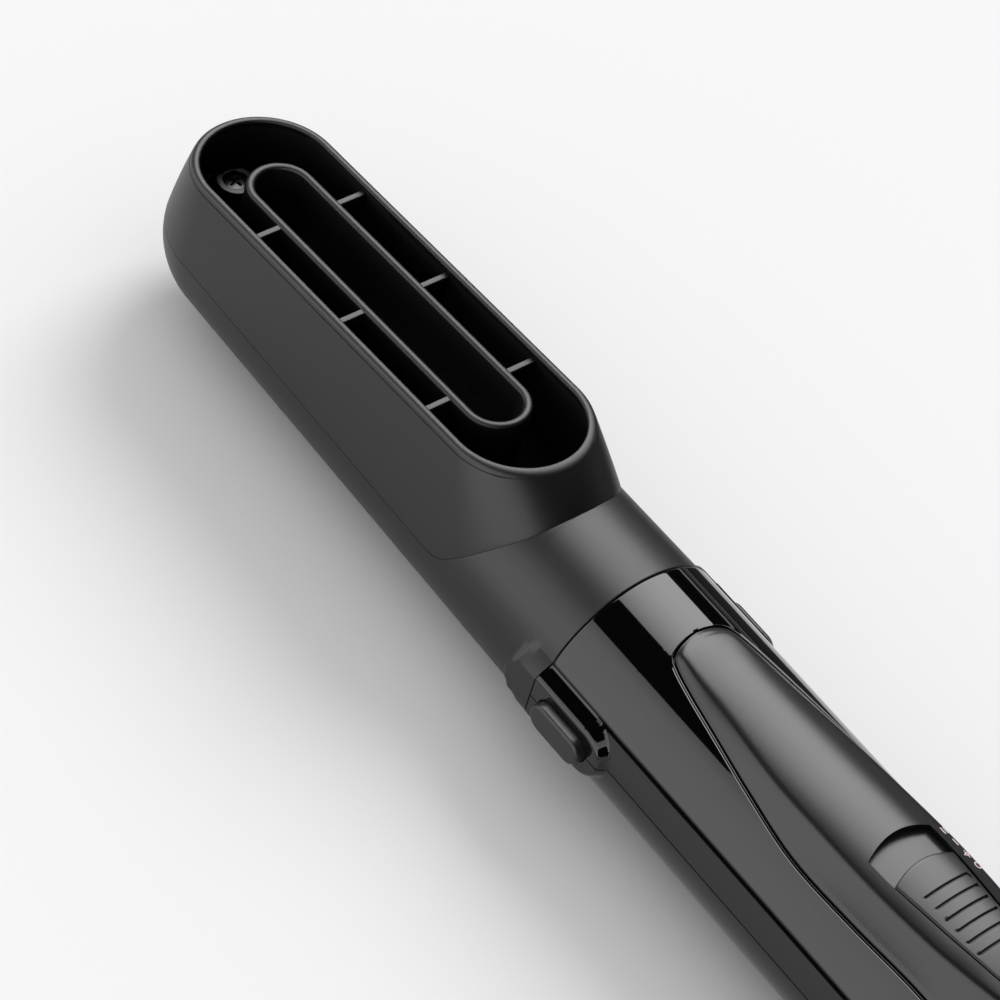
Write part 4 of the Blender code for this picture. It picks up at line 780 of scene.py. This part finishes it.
def crown_height(x):
    return np.interp(x, TABLE[:, 2], TABLE[:, 5]) if np.ndim(x) == 0 else through(TABLE[:, 2], TABLE[:, 5], x)


def knob_half(x):
    side = np.array(KNOB_SIDE)
    return np.interp(x, side[:, 0], side[:, 1])


def window_cutter():
    """Upright prism: bowed front, sides that follow the knob."""
    front = KNOB_FRONT - KNOB_TRAVEL - WINDOW_GAP
    rear = KNOB_FRONT + KNOB_LEN + WINDOW_GAP
    side_x = np.linspace(rear, front + WINDOW_BOW, 24)
    side_y = knob_half(side_x) + WINDOW_GAP
    y = np.linspace(side_y[-1], -side_y[-1], 41)[1:-1]
    bow = np.stack((front + WINDOW_BOW * (y / side_y[-1]) ** 2, y), -1)
    right = np.stack((side_x, side_y), -1)
    outline = np.vstack((right, bow, (right * (1, -1))[::-1]))
    rows = [np.column_stack((outline, np.full(len(outline), z))) for z in (19.0, 32.0)]
    return skin("window", np.array(rows), wrap_cols=True, capped=True)


def slab(name, x, half, top_drop, low_drop=None, low_radius=None):
    """Bowed slab that follows the crown between two drops, or down to a radius."""
    across = np.linspace(-1, 1, 17)
    y = half[:, None] * across[None]
    top = crown_height(x)[:, None] - top_drop - y ** 2 / PLATE_BOW
    if low_radius:
        low = np.sqrt(low_radius ** 2 - y ** 2)
    else:
        low = crown_height(x)[:, None] - low_drop - y ** 2 / PLATE_BOW
    station = np.repeat(x[:, None], len(across), 1)
    grid = np.concatenate((np.stack((station, y, top), -1), np.stack((station, y, low), -1)[:, ::-1]), 1)
    return skin(name, grid, wrap_cols=True, capped=True)


def panel_top(x, y):
    """Height of the panel's crown at a point."""
    rows, _ = panel_rows(ALONG)
    crease = np.interp(x, rows[:, 2], rows[:, 3])
    crease_z = np.interp(x, rows[:, 2], rows[:, 4])
    crown = np.interp(x, rows[:, 2], rows[:, 5])
    return crown - (crown - crease_z) * (y / crease) ** 2


def make_panel():
    """Rows along the outline; each runs up the side, over the rounded edge, up the side band, round the crease,
    across the crown as a parabola, and back underneath."""
    rows, out = panel_rows(ALONG)
    x, half, crease_x, crease, crease_z, crown = rows.T
    half = np.maximum(half, 0)
    crease = np.maximum(crease, 0)
    edge_x = x - out[:, 0] * GAP
    edge_y = np.maximum(half - out[:, 1] * GAP, 0)
    low_r = body_radius(x) - SEAT_DEPTH + GAP
    top_r = body_radius(x) + 0.02
    turn = np.linspace(0, np.pi / 2, 5)
    round_r = 0.3
    side = []
    side.append(np.stack((edge_x, edge_y, np.sqrt(low_r ** 2 - edge_y ** 2)), -1))
    for a in turn:
        inset = round_r * (1 - math.cos(a))
        drop = round_r * (1 - math.sin(a))
        py = np.maximum(edge_y - out[:, 1] * inset, 0)
        side.append(np.stack((edge_x - out[:, 0] * inset, py, np.sqrt((top_r - drop) ** 2 - py ** 2)), -1))
    foot = side[-1]
    corner = np.stack((crease_x, crease, crease_z), -1)
    band = corner - foot
    length = np.maximum(np.linalg.norm(band, axis=1, keepdims=True), 1e-6)
    lift = np.array((0, 0.35, 0.94))
    share = np.linspace(0, 1, 9)[1:]
    stop = np.maximum(1 - 0.7 / length, 0.3)
    swell = 0.16 * np.minimum(length / 3.5, 1.6)
    for s in share:
        side.append(foot + band * s * stop + swell * lift * 4 * s * stop * (1 - s * stop))
    begin = side[-1]
    keep_y = np.maximum(crease - 0.9 * np.minimum(crease / 4, 1), 0)
    end_z = crown - (crown - crease_z) * np.where(crease > 1e-6, (keep_y / np.maximum(crease, 1e-6)) ** 2, 0)
    end = np.stack((crease_x, keep_y, end_z), -1)
    for s in np.linspace(0, 1, 7)[1:]:
        side.append((1 - s) ** 2 * begin + 2 * s * (1 - s) * corner + s ** 2 * end)
    for s in np.linspace(1, 0, 15)[1:]:
        y = keep_y * s
        z = crown - (crown - crease_z) * np.where(crease > 1e-6, (y / np.maximum(crease, 1e-6)) ** 2, 0)
        side.append(np.stack((crease_x, y, z), -1))
    right = np.stack(side, 1)
    left = (right * np.array((1, -1, 1)))[:, -2::-1]
    across = np.linspace(-1, 1, 13)[1:-1]
    under_y = edge_y[:, None] * across[None]
    under = np.stack((np.repeat(edge_x[:, None], 11, 1), under_y, np.sqrt(low_r[:, None] ** 2 - under_y ** 2)), -1)
    panel = skin("grip_panel_skin", np.concatenate((right, left, under), 1), wrap_cols=True)
    stations = np.linspace(PLATE_FRONT - KNOB_TRAVEL - CHAMBER_GAP, PLATE_REAR + CHAMBER_GAP, 30)
    chamber = slab("chamber", stations, knob_half(stations) + PLATE_SIDE + CHAMBER_GAP, PLATE_DROP - CHAMBER_GAP,
                   low_radius=BODY_R - SEAT_DEPTH)
    carve(panel, chamber, window_cutter())
    return attach(shade(panel, "soft", 35), "handle", "soft_black", "grip_panel")


def make_knob():
    """Top follows the crown with rounded edges and a bowed front; thin grooves are pressed in where a point is
    close to a groove's line."""
    line = GROOVE_X + GROOVE_PITCH * np.arange(GROOVE_COUNT)
    fine = (line[:, None] + np.linspace(-0.35, 1.3, 20)[None]).ravel()
    x = np.unique(np.concatenate((KNOB_FRONT + np.array((0, 0.04, 0.12, 0.24, 0.4)), np.arange(80.8, 109.2, 0.5),
                                  fine, KNOB_FRONT + KNOB_LEN - np.array((0.4, 0.24, 0.12, 0.04, 0)))))
    edge = np.array((0, 0.03, 0.1, 0.2, 0.34))
    inner = np.unique(np.concatenate((np.linspace(-0.93, 0.93, 34), np.linspace(0.76, 0.9, 18))))
    half = knob_half(x)
    y = np.concatenate((-half[:, None] + edge[None], half[:, None] * inner[None],
                        half[:, None] - edge[None, ::-1]), 1)
    chamfer = np.array((0.42, 0.28, 0.15, 0.05, 0.0))
    drop = np.concatenate((chamfer, np.zeros(len(inner)), chamfer[::-1]))[None]
    end = np.minimum(x - x[0], x[-1] - x)
    round_off = 0.4 * (1 - np.sqrt(np.clip(1 - (1 - np.clip(end / 0.4, 0, 1)) ** 2, 0, 1)))
    top = crown_height(x)[:, None] - 0.1 - y ** 2 / CROWN_BOW - drop - round_off[:, None]
    station = np.repeat(x[:, None], y.shape[1], 1)
    dist = np.full(y.shape, 9.0)
    for begin in line:
        level = np.hypot(station - begin, np.maximum(np.abs(y - 0.7) - 5.4, 0))
        tick = np.hypot(np.maximum(np.abs(station - begin - 0.5) - 0.5, 0), y - 6.1 + 0.25 * (begin - station))
        dist = np.minimum(dist, np.minimum(level, tick))
    reach = np.where(y > half[:, None] - 0.9, 0, 1)
    top = top - GROOVE_DEPTH * np.clip(1.35 - dist / GROOVE_HALF, 0, 1) * reach
    fade = np.clip(1 - (x - KNOB_FRONT) / 6.0, 0, 1)
    bowed = station + KNOB_BOW * (y / half[:, None]) ** 2 * fade[:, None]
    low = crown_height(x)[:, None] - PLATE_DROP + 0.05 - y ** 2 / PLATE_BOW
    grid = np.concatenate((np.stack((bowed, y, top), -1), np.stack((bowed, y, low), -1)[:, ::-1]), 1)
    knob = shade(skin("slider_knob", grid, wrap_cols=True, capped=True), "knob", 40)
    attach(knob, "slider", "switch_grey", "switch_slider")
    stations = np.linspace(PLATE_FRONT, PLATE_REAR, 40)
    plate = slab("slider_plate", stations, knob_half(stations) + PLATE_SIDE, PLATE_DROP, PLATE_DROP + PLATE_T)
    attach(shade(plate, "knob"), "slider", "switch_grey")
    corners = ((88.5, -2.6), (96.5, -2.6), (96.5, 2.6), (88.5, 2.6))
    stem = skin("slider_stem", np.array([[(px, py, z) for px, py in corners] for z in (15.2, 23.6)]),
                wrap_cols=True, capped=True)
    attach(shade(stem, "knob"), "slider", "switch_grey")


def make_marks():
    """Switch legend: thin bars and rings laid on the panel beside the slider."""
    def bar(name, x, y, length, width, slant=0.0):
        t = np.linspace(-1, 1, 9)
        px = x + t * length / 2
        rows = []
        for side, lift in ((-1, -0.05), (-1, 0.05), (1, 0.05), (1, -0.05)):
            py = y + side * width / 2 + slant * t
            rows.append(np.stack((px, py, panel_top(px, py) + lift), -1))
        return skin(name, np.array(rows).transpose(1, 0, 2), wrap_cols=True, capped=True)

    def loop(name, x, y, long, wide, width):
        a = np.linspace(0, 2 * np.pi, 40, endpoint=False)
        rows = []
        for offset, lift in ((-1, -0.05), (-1, 0.05), (1, 0.05), (1, -0.05)):
            px = x + (long / 2 + offset * width / 2) * np.cos(a)
            py = y + (wide / 2 + offset * width / 2) * np.sin(a)
            rows.append(np.stack((px, py, panel_top(px, py) + lift), -1))
        return skin(name, np.array(rows), wrap_rows=True, wrap_cols=True)

    made = [bar("mark_two_a", 76.6, 9.85, 1.7, 0.34), bar("mark_two_b", 76.6, 10.65, 1.7, 0.34),
            bar("mark_one", 79.8, 10.25, 1.7, 0.34), loop("mark_cool", 83.0, 10.25, 0.7, 0.7, 0.34),
            loop("mark_zero", 86.0, 10.3, 1.5, 1.1, 0.32)]
    made += [bar("mark_cool_%d" % i, 83.0 + dx, 10.25 + dy, 0.34, 0.3)
             for i, (dx, dy) in enumerate(((-0.75, 0), (0.75, 0), (0, -0.7), (0, 0.7)))]
    for piece in made:
        attach(shade(piece, "print"), "handle", "white_plastic")


def make_button(side):
    """Slot outline carried up a profile of (inset, height) that rounds over to a nearly flat face."""
    word = "right" if side > 0 else "left"
    middle, nx, nz = slot_outline(BTN_LEN / 2 - BTN_H / 2, 30, 16)
    turn = np.linspace(0, np.pi / 2, 9)
    profile = [(BTN_H / 2, BTN_FOOT), (0.0, BTN_FOOT), (0.0, 22.0)]
    profile += [(0.9 * (1 - math.cos(a)), BTN_FACE - 0.95 + 0.9 * math.sin(a)) for a in turn]
    profile += [(1.5, BTN_FACE - 0.03), (2.6, BTN_FACE), (BTN_H / 2, BTN_FACE)]
    rows = []
    for inset, height in profile:
        half = BTN_H / 2 - inset
        rows.append(np.stack((BTN_X + middle + half * nx, np.full(len(nx), side * height), half * nz), -1))
    pad = skin("button_cap_" + word, np.array(rows), wrap_cols=True)
    return attach(shade(pad, "button", 50), "button_" + word, "matt_black", "release_button_" + word)


def make_rear():
    """Slotted rear grille and the cord bush, both turned."""
    x0 = HANDLE_END + GAP
    x1 = x0 + CAP_LEN
    neck = REAR_R - WALL - GAP
    profile = eased(((neck, x0), (19.4, x0), (19.3, x1 - 6.5), (18.4, x1 - 2.6), (16.0, x1 - 0.7), (12.6, x1),
                     (7.6, x1), (7.6, x1 - 2.0), (neck - 1.6, x1 - 2.0), (neck - 1.6, x0 - 6.0), (neck, x0 - 6.0)),
                    0.45, 4)
    cap = turned("rear_grille_skin", profile)
    slots = []
    for i in range(INTAKE_SLOTS):
        middle, nx, ny = slot_outline(5.4, 10, 3)
        turn = Matrix.Rotation(math.radians((i + 0.5) * 360 / INTAKE_SLOTS), 3, "X")
        rows = []
        for z in (10.0, 26.0):
            flat = np.stack((x0 + 8.8 + middle + 1.5 * nx, 1.5 * ny, np.full(len(nx), z)), -1)
            rows.append(flat @ np.array(turn.transposed()))
        slots.append(skin("intake_slot", np.array(rows), wrap_cols=True, capped=True))
    carve(cap, *slots)
    attach(shade(cap, "rear"), "handle", "matt_black", "rear_grille")
    bush = eased(((3.1, x1 - 4.4), (8.8, x1 - 4.4), (8.8, x1 - 2.4), (7.3, x1 - 2.4), (7.3, x1 + 0.3),
                  (6.3, x1 + 0.8), (5.5, x1 + GLAND_OUT - 0.8), (4.5, x1 + GLAND_OUT), (3.1, x1 + GLAND_OUT)), 0.3, 4)
    gland = turned("cord_bush", bush, 96)
    attach(shade(gland, "rubber"), "gland", "rubber_black", "cord_gland")


# ---------------------------------------------------------------- room

def look_through():
    """Camera above and behind the left shoulder of the handle."""
    right = (0.60714, 0.76997, 0.19630)
    up = (-0.67779, 0.37290, 0.63367)
    back = (0.41471, -0.51778, 0.74828)
    camera = bpy.data.objects.new("camera", bpy.data.cameras.new("camera"))
    camera.data.lens = 126.0
    camera.data.sensor_width = 36.0
    camera.data.clip_start = 0.01
    camera.data.clip_end = 50.0
    camera.matrix_world = Matrix([(right[i], up[i], back[i], (0.22986, -0.37277, 0.56296)[i]) for i in range(3)]
                                 + [(0, 0, 0, 1)])
    bpy.context.scene.collection.objects.link(camera)
    bpy.context.scene.camera = camera


def stage_card(name, grid, glow, colour=(1, 1, 1)):
    """Studio card that is only seen in reflections; its glow runs along the grid's rows."""
    rows, cols = grid.shape[:2]
    index = np.arange(rows * cols).reshape(rows, cols)
    quads = np.stack((index[:-1, :-1], index[:-1, 1:], index[1:, 1:], index[1:, :-1]), -1).reshape(-1, 4)
    mesh = bpy.data.meshes.new(name)
    mesh.from_pydata(((grid.reshape(-1, 3) + SEAM) * MM).tolist(), [], quads.tolist())
    level = mesh.attributes.new("glow", "FLOAT", "POINT")
    level.data.foreach_set("value", np.repeat(np.asarray(glow, np.float32), cols))
    card = bpy.data.objects.new(name, mesh)
    bpy.context.scene.collection.objects.link(card)
    material = bpy.data.materials.new(name)
    material.use_nodes = True
    nodes = material.node_tree.nodes
    nodes.clear()
    out = nodes.new("ShaderNodeOutputMaterial")
    light = nodes.new("ShaderNodeEmission")
    light.inputs["Color"].default_value = (*colour, 1)
    value = nodes.new("ShaderNodeAttribute")
    value.attribute_name = "glow"
    material.node_tree.links.new(value.outputs["Fac"], light.inputs["Strength"])
    material.node_tree.links.new(light.outputs[0], out.inputs["Surface"])
    mesh.materials.append(material)
    for ray in ("camera", "diffuse", "transmission", "volume_scatter", "shadow"):
        setattr(card, "visible_" + ray, False)
    return card


def arc_card(name, angles, glow, distance, x0, x1):
    """Card bent round the handle's axis, over a range of angles from straight up."""
    a = np.radians(np.asarray(angles, float))
    x = np.linspace(x0, x1, 9)
    grid = np.stack((np.repeat(x[None], len(a), 0), np.repeat(distance * np.sin(a)[:, None], 9, 1),
                     np.repeat(distance * np.cos(a)[:, None], 9, 1)), -1)
    return stage_card(name, grid, glow)


def flat_card(name, x0, x1, y0, y1, z, glow):
    grid = np.array([[(x, y, z) for x in (x0, x1)] for y in (y0, y1)], float)
    return stage_card(name, grid, (glow, glow))


def light_room():
    scene = bpy.context.scene
    scene.view_settings.view_transform = "Standard"
    scene.view_settings.look = "None"
    floor_z = float(cad_low.z) - 0.0001
    size = 6.0
    mesh = bpy.data.meshes.new("floor")
    mesh.from_pydata([(-size, -size, floor_z), (size, -size, floor_z), (size, size, floor_z), (-size, size, floor_z)],
                     [], [(0, 1, 2, 3)])
    floor = bpy.data.objects.new("floor", mesh)
    scene.collection.objects.link(floor)
    paper = Recipe("pale_paper")
    tooth = paper.noise(0.8, 3.0)
    paper.finish(Base_Color=(0.9, 0.9, 0.9, 1), Roughness=0.95, Normal=paper.bump(tooth, 0.01))
    paper.shader.inputs["Specular IOR Level"].default_value = 0.0
    mesh.materials.append(paper.material)

    world = bpy.data.worlds.new("room")
    world.use_nodes = True
    world.node_tree.nodes["Background"].inputs["Color"].default_value = (1, 1, 1, 1)
    world.node_tree.nodes["Background"].inputs["Strength"].default_value = 0.74
    world.cycles_visibility.glossy = False
    scene.world = world
    sun = bpy.data.objects.new("key", bpy.data.lights.new("key", "SUN"))
    sun.data.energy = 1.38
    sun.data.angle = math.radians(34)
    sun.rotation_euler = (math.radians(-44), math.radians(-14), 0)
    sun.visible_glossy = False
    scene.collection.objects.link(sun)

    arc_card("top_softbox", (-5, -4.5, 3, 11, 19, 29, 39, 47, 57, 58),
             (2.9, 3.1, 4.2, 5.1, 5.8, 6.3, 6.3, 5.9, 5.3, 5.2), 900, -1500, -60)
    arc_card("left_softbox", (-97.2, -95, -70, -50, -39), (2.2, 2.3, 2.4, 2.2, 1.6), 172, -900, 190)
    arc_card("edge_strip", (77.5, 80.5), (1.2, 1.2), 700, -1500, 900)
    arc_card("right_wall", (84, 89.5), (0.3, 0.2), 900, -1500, 900)
    flat_card("floor_flag", -1500, 900, 98, 1500, -21.3, 0.06)
    flat_card("left_flag", -900, 500, -146, -106, -21.3, 0.02)


look_through()
make_nozzle_base()
make_nozzle_cup()
make_ring()
make_ribs()
make_screw_boss()
make_screw()
make_upper_housing()
make_lower_housing()
make_panel()
make_knob()
make_marks()
make_button(-1)
make_button(1)
make_rear()
light_room()
